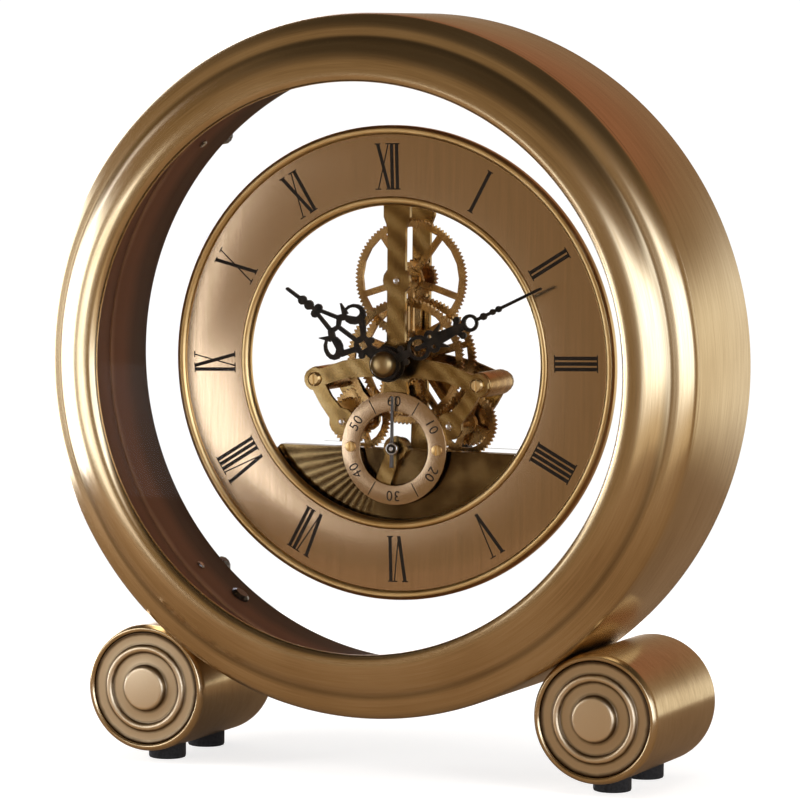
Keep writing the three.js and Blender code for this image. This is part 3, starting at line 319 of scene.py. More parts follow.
def plate_brass():
    """Polished plates with faint wavy bands aslant"""
    material, tree, shader = new_material("plate_brass")
    metal(shader)
    bands = add(
        tree,
        "ShaderNodeTexWave",
        {"Vector": own_place(tree), "Scale": 85.0, "Distortion": 5.0, "Detail": 1.0, "Detail Scale": 0.5},
        bands_direction="DIAGONAL",
    ).outputs["Fac"]
    patches = noise(tree, own_place(tree), 90.0, 3.0)
    stops = [(0.30, (0.21, 0.13, 0.047)), (0.5, (0.36, 0.24, 0.09)), (0.70, (0.50, 0.37, 0.17))]
    vary(tree, shader, "Base Color", shared(tree, bands, 0.20, patches), stops)
    vary(tree, shader, "Roughness", bands, [(0.2, 0.18), (0.8, 0.22)])
    bump(tree, shader, bands, 0.012, 0.0003)
    return material


def housing_gold():
    """The housing's face: ribs that fan out to the left from behind the small dial, and none on the right"""
    ribs_per_radian = 58.0
    fade_per_metre = -70.0
    edge_per_metre = 1000.0
    material, tree, shader = new_material("housing_gold")
    metal(shader)
    place = split_xyz(tree, own_place(tree))
    fan_x = maths(tree, "SUBTRACT", place[0], CENTRE.x + FAN_X)
    fan_z = maths(tree, "SUBTRACT", place[2], CENTRE.z + FAN_Z)
    angle = maths(tree, "ARCTAN2", fan_z, fan_x)
    ribs = maths(tree, "SINE", maths(tree, "MULTIPLY", angle, ribs_per_radian))
    left = add(tree, "ShaderNodeClamp", {0: maths(tree, "MULTIPLY", fan_x, fade_per_metre)}).outputs[0]
    ahead = maths(tree, "SUBTRACT", CENTRE.y + RIBS_REAR, place[1])
    front = add(tree, "ShaderNodeClamp", {0: maths(tree, "MULTIPLY", ahead, edge_per_metre)}).outputs[0]
    height = maths(tree, "MULTIPLY", ribs, maths(tree, "MULTIPLY", left, front))
    marks = noise(tree, own_place(tree), 90.0, 3.0)
    shade = maths(tree, "ADD", maths(tree, "MULTIPLY", height, 0.18), marks)
    stops = [(0.28, (0.05, 0.03, 0.012)), (0.5, (0.13, 0.085, 0.036)), (0.72, (0.26, 0.185, 0.085))]
    vary(tree, shader, "Base Color", shade, stops)
    vary(tree, shader, "Roughness", marks, [(0.3, 0.12), (0.7, 0.24)])
    bump(tree, shader, height, 0.055, 0.0003)
    return material


def silver():
    material, tree, shader = new_material("silver")
    metal(shader)
    marks = noise(tree, own_place(tree), 700.0, 3.0)
    vary(tree, shader, "Base Color", marks, [(0.3, 0.50), (0.7, 0.74)])
    vary(tree, shader, "Roughness", marks, [(0.3, 0.30), (0.7, 0.18)])
    return material


def dark_steel():
    material, tree, shader = new_material("dark_steel")
    metal(shader)
    marks = noise(tree, stretched(tree, 900.0, 900.0, 90.0), 1.0, 2.0)
    vary(tree, shader, "Base Color", marks, [(0.3, (0.10, 0.105, 0.11)), (0.7, (0.20, 0.20, 0.21))])
    return material


def black_metal():
    """Black lacquer over brass, worn to brown in places"""
    material, tree, shader = new_material("black_metal")
    shader.inputs["Metallic"].default_value = 0.3
    shader.inputs["Specular IOR Level"].default_value = 0.25
    marks = noise(tree, own_place(tree), 420.0, 3.0)
    vary(tree, shader, "Base Color", marks, [(0.35, (0.004, 0.0035, 0.003)), (0.75, (0.020, 0.013, 0.008))])
    vary(tree, shader, "Roughness", marks, [(0.3, 0.28), (0.7, 0.42)])
    return material


def printed_black():
    material, tree, shader = new_material("printed_black")
    marks = noise(tree, own_place(tree), 2500.0, 2.0)
    vary(tree, shader, "Base Color", marks, [(0.3, (0.010, 0.007, 0.005)), (0.7, (0.026, 0.018, 0.012))])
    shader.inputs["Roughness"].default_value = 0.5
    shader.inputs["Specular IOR Level"].default_value = 0.12
    return material


def wall_brown(name, stops):
    """Dark satin wall whose tone changes with depth: stops are (metres behind the dial's centre, colour)"""
    middle = 0.5
    per_metre = 12.0
    material, tree, shader = new_material(name)
    y = split_xyz(tree, own_place(tree))[1]
    depth = maths(tree, "ADD", maths(tree, "MULTIPLY", y, per_metre), middle)
    cloud = noise(tree, own_place(tree), 60.0, 3.0)
    wobble = maths(tree, "MULTIPLY", maths(tree, "SUBTRACT", cloud, 0.5), 0.05)
    placed = [(middle + per_metre * behind, colour) for behind, colour in stops]
    vary(tree, shader, "Base Color", maths(tree, "ADD", depth, wobble), placed)
    grain = noise(tree, turned_lines(tree, 1800.0, 4.0), 1.0, 3.0)
    vary(tree, shader, "Roughness", grain, [(0.3, 0.38), (0.7, 0.52)])
    shader.inputs["Specular IOR Level"].default_value = 0.02
    bump(tree, shader, grain, 0.15, 0.0001)
    return material


def rubber():
    material, tree, shader = new_material("rubber")
    grain = noise(tree, own_place(tree), 1400.0, 3.0)
    vary(tree, shader, "Base Color", grain, [(0.3, (0.010, 0.010, 0.011)), (0.7, (0.028, 0.028, 0.030))])
    shader.inputs["Roughness"].default_value = 0.8
    bump(tree, shader, grain, 0.3, 0.0002)
    return material


def moulded_black():
    material, tree, shader = new_material("moulded_black")
    grain = noise(tree, own_place(tree), 2200.0, 2.0)
    vary(tree, shader, "Base Color", grain, [(0.3, (0.012, 0.012, 0.012)), (0.7, (0.022, 0.022, 0.022))])
    vary(tree, shader, "Roughness", grain, [(0.3, 0.42), (0.7, 0.58)])
    bump(tree, shader, grain, 0.3, 0.0001)
    return material


def copper():
    """Enamelled wire, wound side by side along X"""
    material, tree, shader = new_material("copper")
    metal(shader)
    wave = add(tree, "ShaderNodeTexWave", {"Vector": own_place(tree), "Scale": 900.0}).outputs["Fac"]
    vary(tree, shader, "Base Color", wave, [(0.1, (0.20, 0.06, 0.02)), (0.9, (0.66, 0.28, 0.12))])
    bump(tree, shader, wave, 0.6, 0.0002)
    return material


def board_green():
    material, tree, shader = new_material("board_green")
    marks = noise(tree, own_place(tree), 380.0, 1.0)
    vary(tree, shader, "Base Color", marks, [(0.45, (0.015, 0.085, 0.04)), (0.55, (0.03, 0.14, 0.07))])
    shader.inputs["Roughness"].default_value = 0.35
    return material


def battery_film():
    """A dark wrapped cell with a copper-coloured band at one end"""
    material, tree, shader = new_material("battery_film")
    x = split_xyz(tree, own_place(tree))[0]
    along = maths(tree, "ADD", maths(tree, "MULTIPLY", x, 15.0), 0.5)
    vary(tree, shader, "Base Color", along, [(0.70, (0.03, 0.032, 0.036)), (0.71, (0.50, 0.22, 0.10))])
    marks = noise(tree, own_place(tree), 300.0, 2.0)
    vary(tree, shader, "Roughness", marks, [(0.3, 0.22), (0.7, 0.34)])
    shader.inputs["Metallic"].default_value = 0.4
    return material


def clear_pane():
    """Thin clear glass: see-through with a faint mirror, weak enough to stay clear when seen aslant"""
    mirror_colour = (0.6, 0.6, 0.6, 1)
    index = 1.13
    material, tree, shader = new_material("clear_pane")
    tree.nodes.remove(shader)
    output = tree.nodes["Material Output"]
    smear = noise(tree, own_place(tree), 35.0, 2.0)
    rough = ramp(tree, smear, [(0.3, 0.01), (0.8, 0.05)])
    through = add(tree, "ShaderNodeBsdfTransparent", {"Color": (1, 1, 1, 1)}).outputs[0]
    mirror = add(tree, "ShaderNodeBsdfGlossy", {"Color": mirror_colour, "Roughness": rough}).outputs[0]
    facing = add(tree, "ShaderNodeFresnel", {"IOR": index}).outputs[0]
    mixed = add(tree, "ShaderNodeMixShader", {0: facing, 1: through, 2: mirror}).outputs[0]
    tree.links.new(mixed, output.inputs["Surface"])
    return material


def bumper_gel():
    """Soft clear bumpers that look smoky against the dark wall"""
    material, tree, shader = new_material("bumper_gel")
    cloud = noise(tree, own_place(tree), 500.0, 2.0)
    vary(tree, shader, "Base Color", cloud, [(0.3, (0.09, 0.08, 0.08)), (0.7, (0.16, 0.15, 0.15))])
    shader.inputs["Roughness"].default_value = 0.25
    shader.inputs["Alpha"].default_value = 0.92
    return material


# Meshes

def finish_piece(name, bm, material, body="clock", nodes=(), sharp=PLAIN_EDGE, at=None):
    """Turns a bmesh, built round the point at, into a piece that rides on a body"""
    bmesh.ops.recalc_face_normals(bm, faces=bm.faces)
    mesh = bpy.data.meshes.new(name)
    bm.to_mesh(mesh)
    bm.free()
    mesh.polygons.foreach_set("use_smooth", [True] * len(mesh.polygons))
    mesh.set_sharp_from_angle(angle=math.radians(sharp))
    mesh.materials.append(material)
    piece = bpy.data.objects.new(name, mesh)
    piece.location = CENTRE if at is None else at
    bpy.context.scene.collection.objects.link(piece)
    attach(piece, body)
    if nodes:
        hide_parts(*nodes)
    return piece


def turn(bm, profile, steps, x=0.0, z=0.0):
    """Turns a profile of (radius, y) round the Y axis through x, z: closed on itself, or from axis to axis"""
    columns = []
    for i in range(steps):
        across = math.sin(2 * math.pi * i / steps)
        up = math.cos(2 * math.pi * i / steps)
        columns.append([
            bm.verts.new((x + radius * across, y, z + radius * up)) if radius else None
            for radius, y in profile
        ])
    poles = [bm.verts.new((x, y, z)) if radius == 0 else None for radius, y in profile]
    closed = all(radius > 0 for radius, _ in profile)
    last = len(profile) if closed else len(profile) - 1
    for i in range(steps):
        here = columns[i]
        there = columns[(i + 1) % steps]
        for j in range(last):
            k = (j + 1) % len(profile)
            corners = [
                poles[j] or here[j],
                poles[k] or here[k],
                poles[k] or there[k],
                poles[j] or there[j],
            ]
            unique = list(dict.fromkeys(corners))
            if len(unique) > 2:
                bm.faces.new(unique)


def rounded(points, radius, steps=4):
    """A closed or axis-to-axis profile with its corners eased; corners on the axis stay"""
    most = 0.45
    out = []
    for i, point in enumerate(points):
        before = Vector(points[i - 1])
        corner = Vector(point)
        after = Vector(points[(i + 1) % len(points)])
        if corner.x == 0:
            out.append(tuple(corner))
            continue
        back = before - corner
        forward = after - corner
        cut = min(radius, back.length * most, forward.length * most)
        start = corner + back.normalized() * cut
        end = corner + forward.normalized() * cut
        for step in range(steps + 1):
            t = step / steps
            out.append(tuple(start * (1 - t) ** 2 + corner * 2 * t * (1 - t) + end * t ** 2))
    return out


def flowing(points, steps=7):
    """Points along a smooth curve through the given ones"""
    out = []
    for i in range(len(points) - 1):
        p0 = Vector(points[max(i - 1, 0)])
        p1 = Vector(points[i])
        p2 = Vector(points[i + 1])
        p3 = Vector(points[min(i + 2, len(points) - 1)])
        for step in range(steps):
            t = step / steps
            out.append(tuple(0.5 * (
                2 * p1 + (p2 - p0) * t
                + (2 * p0 - 5 * p1 + 4 * p2 - p3) * t ** 2
                + (3 * p1 - p0 - 3 * p2 + p3) * t ** 3
            )))
    out.append(tuple(points[-1]))
    return out


def in_metres(points):
    """Pairs in millimetres as pairs in metres"""
    return [(a * MM, b * MM) for a, b in points]


def span(node):
    """A CAD node's box, from the dial's centre"""
    low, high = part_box(node)
    return low - CENTRE, high - CENTRE


def lathe_piece(name, profile, material, nodes=(), steps=ROUND_STEPS, x=0, z=0, sharp=PLAIN_EDGE):
    """A piece turned round the Y axis through x, z from the dial's centre"""
    bm = bmesh.new()
    turn(bm, profile, steps)
    at = CENTRE + Vector((x, 0, z))
    return finish_piece(name, bm, material, nodes=nodes, at=at, sharp=sharp)


def prism(bm, outline, front, rear):
    """A flat outline of (x, z) points, as thick as from front to rear"""
    near = [bm.verts.new((x, front, z)) for x, z in outline]
    far = [bm.verts.new((x, rear, z)) for x, z in outline]
    bm.faces.new(near)
    bm.faces.new(list(reversed(far)))
    for i in range(len(outline)):
        j = (i + 1) % len(outline)
        bm.faces.new((near[i], near[j], far[j], far[i]))


# Case

def front_bezel(brass):
    """The bezel, from the drum over the roll, the groove and the ridge to the opening"""
    curve = flowing(in_metres([
        (110.1, -21.55), (109.85, -23.2), (109.1, -24.6), (107.8, -25.9), (106.0, -26.95), (104.3, -27.5),
        (103.0, -27.85), (101.9, -28.5), (100.9, -29.4), (99.6, -30.6), (98.0, -31.75), (96.0, -32.7),
        (94.0, -33.2), (92.2, -33.34), (90.6, -33.05), (89.5, -32.35), (88.95, -31.4), (88.9, -30.5),
    ]))
    inside = in_metres([(97.8, -30.4), (97.8, -24.1), (108.9, -24.1), (108.9, -21.5)])
    node = "front_bezel"
    lathe_piece(f"{node}_turned", curve + inside, brass, [node], sharp=SOFT_EDGE)


def drum_band(brass):
    """The band round the drum with its rear flange"""
    inner = DRUM_R - 1.2 * MM
    flange = DRUM_R - 6.7 * MM
    behind = DRUM_REAR - 0.8 * MM
    profile = [
        (inner, DRUM_FRONT),
        (DRUM_R, DRUM_FRONT),
        (DRUM_R, DRUM_REAR),
        (flange, DRUM_REAR),
        (flange, behind),
        (inner, behind),
    ]
    eased = rounded(profile, 0.35 * MM)
    lathe_piece("drum_band_turned", eased, brass, ["drum_band"], sharp=SOFT_EDGE)


def case_walls():
    """The sleeve behind the front glass, and the core behind it with its ledge for the rear pane"""
    glint = (0.34, 0.17, 0.09)
    warm = (0.21, 0.088, 0.046)
    dark = (0.115, 0.058, 0.034)
    sleeve_paint = wall_brown("sleeve_brown", [(-0.028, dark), (-0.010, warm), (0.0, dark)])
    core_paint = wall_brown("core_brown", [(-0.006, glint), (-0.003, warm), (0.003, warm), (0.010, dark)])
    sleeve_front = -28.2 * MM
    sleeve_r = 97.6 * MM
    sleeve_bore = 96.9 * MM
    sleeve = [
        (94.4 * MM, sleeve_front),
        (sleeve_r, sleeve_front),
        (sleeve_r, SLEEVE_REAR),
        (sleeve_bore, SLEEVE_REAR),
        (sleeve_bore, -24.2 * MM),
    ]
    eased = rounded(sleeve, 0.2 * MM)
    lathe_piece("glass_sleeve_turned", eased, sleeve_paint, ["glass_sleeve"])
    seat_r = 97.7 * MM
    seat_rear = -5.7 * MM
    ledge_r = 104.2 * MM
    outer_r = 108.7 * MM
    front = -23.9 * MM
    rear = 23.5 * MM
    core = [
        (seat_r, front),
        (outer_r, front),
        (outer_r, rear),
        (ledge_r, rear),
        (ledge_r, LEDGE_Y),
        (CORE_R, LEDGE_Y),
        (CORE_R, seat_rear),
        (seat_r, seat_rear),
    ]
    eased = rounded(core, 0.25 * MM)
    lathe_piece("case_core_turned", eased, core_paint, ["case_core"])


# Feet

def foot_part(name, side, profile, paint, x, z):
    """A turned piece that takes the place of one side's node"""
    node = f"{name}_{side}"
    lathe_piece(f"{node}_turned", profile, paint, [node], FOOT_STEPS, x, z, SOFT_EDGE)


def foot_body(side, x, z, brass):
    """The lying cylinder, with a recess in its front for the disc"""
    floor = FOOT_FRONT + 1.9 * MM
    recess = FOOT_DISC_R + 0.2 * MM
    profile = [
        (0, floor),
        (recess, floor),
        (recess, FOOT_FRONT + 0.5 * MM),
        (recess + 0.5 * MM, FOOT_FRONT),
        (FOOT_R - 1.0 * MM, FOOT_FRONT),
        (FOOT_R, FOOT_FRONT + 1.6 * MM),
        (FOOT_R, FOOT_REAR - 1.6 * MM),
        (FOOT_R - 1.6 * MM, FOOT_REAR),
        (0, FOOT_REAR),
    ]
    foot_part("foot", side, rounded(profile, 1.1 * MM, 5), brass, x, z)


def foot_disc(side, x, z, patina):
    """The front disc: an outer channel, a bead, an inner channel and a button"""
    floor = FOOT_FRONT + 1.7 * MM
    channel = floor - 0.9 * MM
    profile = [
        (0, floor),
        (FOOT_DISC_R, floor),
        (FOOT_DISC_R, floor - 1.1 * MM),
        (17.0 * MM, channel),
        (13.9 * MM, channel + 0.1 * MM),
        (13.5 * MM, FOOT_FRONT - 0.1 * MM),
        (12.7 * MM, FOOT_FRONT - 0.4 * MM),
        (11.9 * MM, FOOT_FRONT - 0.1 * MM),
        (11.5 * MM, channel + 0.1 * MM),
        (7.3 * MM, channel),
        (7.0 * MM, FOOT_FRONT - 0.9 * MM),
        (6.3 * MM, FOOT_FRONT - 1.3 * MM),
        (0, FOOT_FRONT - 1.45 * MM),
    ]
    foot_part("foot_disc", side, rounded(profile, 0.45 * MM, 4), patina, x, z)


def foot_pad(side, end, foot_x, foot_z, paint):
    """A round rubber post, hollowed on top to the foot and eased at its lower edge"""
    node = f"foot_pad_{side}_{end}"
    low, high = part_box(node)
    at = Vector(((low.x + high.x) / 2, (low.y + high.y) / 2, low.z))
    hollow_r = FOOT_R + 0.1 * MM
    steps = 40
    angles = [2 * math.pi * i / steps for i in range(steps)]
    circle = [(math.cos(angle), math.sin(angle)) for angle in angles]
    levels = [(PAD_R - 0.7 * MM, 0.0), (PAD_R - 0.2 * MM, 0.2 * MM), (PAD_R, 0.7 * MM)]
    bm = bmesh.new()
    rings = [[bm.verts.new((radius * x, radius * y, z)) for x, y in circle] for radius, z in levels]
    top = []
    for x, y in circle:
        across = at.x + PAD_R * x - foot_x
        height = foot_z - math.sqrt(hollow_r ** 2 - across ** 2) - at.z
        top.append(bm.verts.new((PAD_R * x, PAD_R * y, height)))
    rings.append(top)
    for lower, upper in zip(rings, rings[1:]):
        for i in range(steps):
            j = (i + 1) % steps
            bm.faces.new((lower[i], lower[j], upper[j], upper[i]))
    bm.faces.new(rings[0])
    bm.faces.new(top)
    finish_piece(f"{node}_moulded", bm, paint, nodes=[node], at=at)


def feet(brass, paint):
    """Two feet, each with its disc and two pads"""
    patina = patina_brass()
    for side in ("left", "right"):
        low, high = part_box(f"foot_{side}")
        foot_x = (low.x + high.x) / 2
        foot_z = (low.z + high.z) / 2
        foot_body(side, foot_x - CENTRE.x, foot_z - CENTRE.z, brass)
        foot_disc(side, foot_x - CENTRE.x, foot_z - CENTRE.z, patina)
        for end in ("front", "rear"):
            foot_pad(side, end, foot_x, foot_z, paint)


# Dial

def dial(brass, gold):
    """The plate with its two rear posts, a raised outer rim and a rolled inner lip"""
    inner_r = 50.6 * MM
    outer_r = 74.4 * MM
    plate = [(inner_r, DIAL_BACK), (outer_r, DIAL_BACK), (outer_r, DIAL_FACE), (inner_r, DIAL_FACE)]
    post_r = 2.0 * MM
    post_front = 1.5 * MM
    post_rear = 3.6 * MM
    post = [(0, post_front), (post_r, post_front), (post_r, post_rear), (0, post_rear)]
    bm = bmesh.new()
    turn(bm, rounded(plate, 0.1 * MM), ROUND_STEPS)
    for x in (POST_X, -POST_X):
        turn(bm, post, PIN_STEPS, x, POST_Z)
    finish_piece("dial_plate", bm, brass, nodes=["dial_ring"])
    rim = in_metres([
        (72.0, 0.2), (72.0, -0.9), (72.9, -1.5), (74.0, -1.6), (75.0, -0.9), (75.0, 1.7), (74.3, 1.7),
    ])
    lathe_piece("dial_outer_rim", rounded(rim, 0.4 * MM, 5), gold, sharp=SOFT_EDGE)
    lip = flowing(in_metres([
        (52.7, 0.2), (52.6, -0.5), (52.1, -0.95), (51.3, -1.0), (50.4, -0.6), (49.9, 0.1), (49.75, 0.8),
        (49.75, 1.7),
    ]))
    inside = in_metres([(50.8, 1.7)])
    lathe_piece("dial_inner_lip", lip + inside, gold, sharp=SOFT_EDGE)


# Numerals: stroke widths, and each letter's room
THICK = 1.15 * MM
THIN = 0.42 * MM
PITCH = 1.72 * MM
DIAGONAL = 3.7 * MM
SERIF = 0.36 * MM
GLYPHS = {"I": PITCH, "V": DIAGONAL + 0.6 * MM, "X": DIAGONAL + 0.5 * MM}
NUMERALS = ["XII", "I", "II", "III", "IIII", "V", "VI", "VII", "VIII", "IX", "X", "XI"]


def stroke(bm, low, high, width, front):
    """A straight stroke whose ends are level: low and high are (x, z)"""
    half = width / 2
    (x0, z0), (x1, z1) = low, high
    prism(bm, [(x0 - half, z0), (x0 + half, z0), (x1 + half, z1), (x1 - half, z1)], front, DIAL_FACE)


def glyph(bm, letter, x, low, high):
    """One letter centred at x, with its serifs"""
    half = DIAGONAL / 2
    over = THICK / 2 + 0.45 * MM
    face = DIAL_FACE - 0.03 * MM
    thin_face = DIAL_FACE - 0.02 * MM
    serif_face = thin_face - 0.005 * MM
    if letter == "I":
        stroke(bm, (x, low), (x, high), THICK, face)
        feet_at = [(x, low), (x, high)]
    if letter == "V":
        stroke(bm, (x, low), (x - half, high), THICK, face)
        stroke(bm, (x + 0.1 * MM, low), (x + half, high), THIN, thin_face)
        feet_at = [(x - half, high), (x + half, high)]
    if letter == "X":
        stroke(bm, (x + half, low), (x - half, high), THICK, face)
        stroke(bm, (x - half, low), (x + half, high), THIN, thin_face)
        feet_at = [(x + sign * half, z) for sign in (-1, 1) for z in (low, high)]
    for foot_x, z in feet_at:
        inward = SERIF if z == low else -SERIF
        bottom, top = sorted((z, z + inward))
        left = foot_x - over
        right = foot_x + over
        prism(bm, [(left, bottom), (right, bottom), (right, top), (left, top)], serif_face, DIAL_FACE)


def numerals(ink):
    """The twelve numerals, with their tops towards the dial's outer rim"""
    for hour, letters in enumerate(NUMERALS):
        bm = bmesh.new()
        widths = [GLYPHS[letter] for letter in letters]
        x = -sum(widths) / 2
        for letter, width in zip(letters, widths):
            glyph(bm, letter, x + width / 2, NUMERAL_INNER, NUMERAL_OUTER)
            x += width
        angle = math.radians(30 * hour + DIAL_TURN)
        bmesh.ops.rotate(bm, verts=bm.verts, matrix=Matrix.Rotation(angle, 3, "Y"))
        finish_piece(f"numeral_{hour or 12}", bm, ink)


def mark_text(name, words, size, radius, degrees, ink):
    """Figures that stand outward on the seconds dial, turned into a thin mesh"""
    curve = bpy.data.curves.new(name, "FONT")
    curve.body = words
    curve.size = size
    curve.align_x = "CENTER"
    curve.align_y = "CENTER"
    curve.extrude = 0.02 * MM
    curve.resolution_u = 6
    curve.space_character = 1.12
    holder = bpy.data.objects.new(name, curve)
    bpy.context.scene.collection.objects.link(holder)
    bpy.context.view_layer.update()
    depsgraph = bpy.context.evaluated_depsgraph_get()
    flat = bpy.data.meshes.new_from_object(holder.evaluated_get(depsgraph))
    bpy.data.objects.remove(holder)
    bm = bmesh.new()
    bm.from_mesh(flat)
    upright = Matrix.Rotation(math.radians(90), 4, "X")
    outward = Matrix.Translation((0, SECONDS_FRONT - 0.01 * MM, radius))
    around = Matrix.Rotation(math.radians(degrees), 4, "Y")
    bm.transform(Matrix.Translation((0, 0, SECONDS_Z)) @ around @ outward @ upright)
    finish_piece(name, bm, ink)


def seconds_dial(brass, ink):
    """The small open dial, its figures, and ticks where no figure or screw is"""
    figure_size = 4.6 * MM
    figure_r = 14.9 * MM
    half = 0.15 * MM
    inner = 12.4 * MM
    outer = 17.3 * MM
    tick = [(-half, inner), (half, inner), (half, outer), (-half, outer)]
    tick_front = SECONDS_FRONT - 0.03 * MM
    degrees = 6
    ring = [
        (SECONDS_OPENING, SECONDS_FRONT),
        (SECONDS_R, SECONDS_FRONT),
        (SECONDS_R, SECONDS_REAR),
        (SECONDS_OPENING, SECONDS_REAR),
    ]
    eased = rounded(ring, 0.15 * MM)
    lathe_piece("seconds_dial_turned", eased, brass, ["seconds_dial"], SMALL_STEPS, z=SECONDS_Z)
    for figure in range(10, 70, 10):
        mark_text(f"figure_{figure}", str(figure), figure_size, figure_r, figure * degrees, ink)
    bm = bmesh.new()
    for seconds in (5, 25, 35, 55):
        across = math.cos(math.radians(seconds * degrees))
        aside = math.sin(math.radians(seconds * degrees))
        outline = [(x * across + z * aside, SECONDS_Z + z * across - x * aside) for x, z in tick]
        prism(bm, outline, tick_front, SECONDS_FRONT)
    finish_piece("seconds_ticks", bm, ink)


def hand_nut(brass):
    """The small domed nut that holds the hands"""
    node = "hand_nut"
    low, high = span(node)
    radius = (high.x - low.x) / 2
    dome_share = 0.62
    steps = 8
    depth = (high.y - low.y) * dome_share
    nut = [(0, low.y)]
    for step in range(1, steps + 1):
        angle = math.radians(90 * step / steps)
        nut.append((radius * math.sin(angle), low.y + depth * (1 - math.cos(angle))))
    nut += [(radius, high.y), (0, high.y)]
    piece = lathe_piece(f"{node}_turned", nut, brass, [node], PILLAR_STEPS, sharp=SOFT_EDGE)
    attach(piece, "minute")


def seconds_hand(steel, lacquer, bright):
    """A dark blade with a bright collar and a black button"""
    low, high = span("second_hand")
    front = low.y
    rear = high.y
    tip = high.z - SECONDS_Z
    tail = low.z - SECONDS_Z
    hub = (high.x - low.x) / 2
    bm = bmesh.new()
    blade_front = rear - 0.45 * MM
    tail_half = 0.62 * MM
    tip_half = 0.38 * MM
    outline = [(-tail_half, tail), (tail_half, tail), (tip_half, tip), (-tip_half, tip)]
    prism(bm, outline, blade_front, rear)
    at = CENTRE + Vector((0, 0, SECONDS_Z))
    blade = finish_piece("seconds_blade", bm, steel, "seconds", ["second_hand"], at=at)
    collar_r = 2.2 * MM
    collar_front = front + 0.3 * MM
    collar_profile = [
        (0.5 * hub, collar_front),
        (0.85 * collar_r, collar_front),
        (collar_r, rear - 0.3 * MM),
        (collar_r, rear),
        (0.5 * hub, rear),
    ]
    eased = rounded(collar_profile, 0.15 * MM)
    collar = lathe_piece("seconds_collar", eased, bright, steps=COLLAR_STEPS, z=SECONDS_Z)
    pin_r = 0.9 * hub
    pin_profile = rounded([(0, front), (pin_r, front), (pin_r, rear), (0, rear)], 0.2 * MM)
    pin = lathe_piece("seconds_pin", pin_profile, lacquer, steps=40, z=SECONDS_Z)
    for piece in (blade, collar, pin):
        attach(piece, "seconds")


def pivot_pins(bright):
    """Bright pin ends on the front plate, over the train's arbors"""
    face = span("front_plate")[0].y
    foot = face + 0.2 * MM
    radius = 1.2 * MM
    profile = [(0, face - 0.5 * MM), (0.9 * MM, face - 0.35 * MM), (radius, face), (radius, foot), (0, foot)]
    for name in ("upper_wheel", "left_wheel", "right_wheel"):
        low, high = span(name)
        at = (low + high) / 2
        eased = rounded(profile, 0.15 * MM)
        lathe_piece(f"{name}_pin", eased, bright, steps=PIN_STEPS, x=at.x, z=at.z)


def pillars(paint):
    """The turned pillars between the plates"""
    for name in ("pillar_left", "pillar_right", "pillar_top"):
        low, high = span(name)
        middle = (low + high) / 2
        radius = (high.z - low.z) / 2
        profile = [(0, low.y), (radius, low.y), (radius, high.y), (0, high.y)]
        eased = rounded(profile, 0.4 * MM)
        lathe_piece(f"{name}_turned", eased, paint, [name], PILLAR_STEPS, middle.x, middle.z)


def seconds_screws(gold):
    """Round screws with upright slots: a turned base and two half discs that leave the slot between them"""
    slot_depth = 0.35 * MM
    slot_half = 0.26 * MM
    shank_r = 0.8 * MM
    steps = 16
    near = 0.001 * MM
    under = SECONDS_FRONT
    for side in ("left", "right"):
        name = f"seconds_screw_{side}"
        low, high = span(name)
        middle = (low + high) / 2
        radius = (high.z - low.z) / 2
        front = low.y
        rear = high.y
        floor = front + slot_depth
        bm = bmesh.new()
        base = [(0, floor), (radius, floor), (radius, under), (shank_r, under), (shank_r, rear), (0, rear)]
        turn(bm, base, COLLAR_STEPS)
        first = math.asin(slot_half / radius)
        for sign in (-1, 1):
            outline = []
            for step in range(steps + 1):
                angle = first + (math.pi - 2 * first) * step / steps
                outline.append((sign * radius * math.sin(angle), radius * math.cos(angle)))
            prism(bm, outline, front, floor + 0.02 * MM)
        rims = [edge for edge in bm.edges if all(abs(vert.co.y - front) < near for vert in edge.verts)]
        bmesh.ops.bevel(bm, geom=rims, offset=0.12 * MM, segments=2, affect="EDGES", profile=0.5)
        at = CENTRE + Vector((middle.x, 0, middle.z))
        finish_piece(f"{name}_turned", bm, gold, nodes=[name], at=at)


# CAD nodes that stay: a finish, and eased edges

WELD_GAP = 0.002 * MM
FLAT_DEGREES = 0.8
EASED_DEGREES = 50


def ease(node, width):
    """Eases a CAD node's sharp edges with modifiers, its own mesh left as it is"""
    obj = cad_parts[node]
    weld = obj.modifiers.new("weld", "WELD")
    weld.merge_threshold = WELD_GAP
    merge = obj.modifiers.new("merge", "DECIMATE")
    merge.decimate_type = "DISSOLVE"
    merge.angle_limit = math.radians(FLAT_DEGREES)
    bevel = obj.modifiers.new("bevel", "BEVEL")
    bevel.width = width
    bevel.segments = 2
    bevel.limit_method = "ANGLE"
    bevel.angle_limit = math.radians(EASED_DEGREES)
    bevel.harden_normals = False
    level = obj.modifiers.new("level", "WEIGHTED_NORMAL")
    level.keep_sharp = True


def paint_node(node, material, width=0.0):
    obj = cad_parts[node]
    obj.data.materials.clear()
    obj.data.materials.append(material)
    if width:
        ease(node, width)


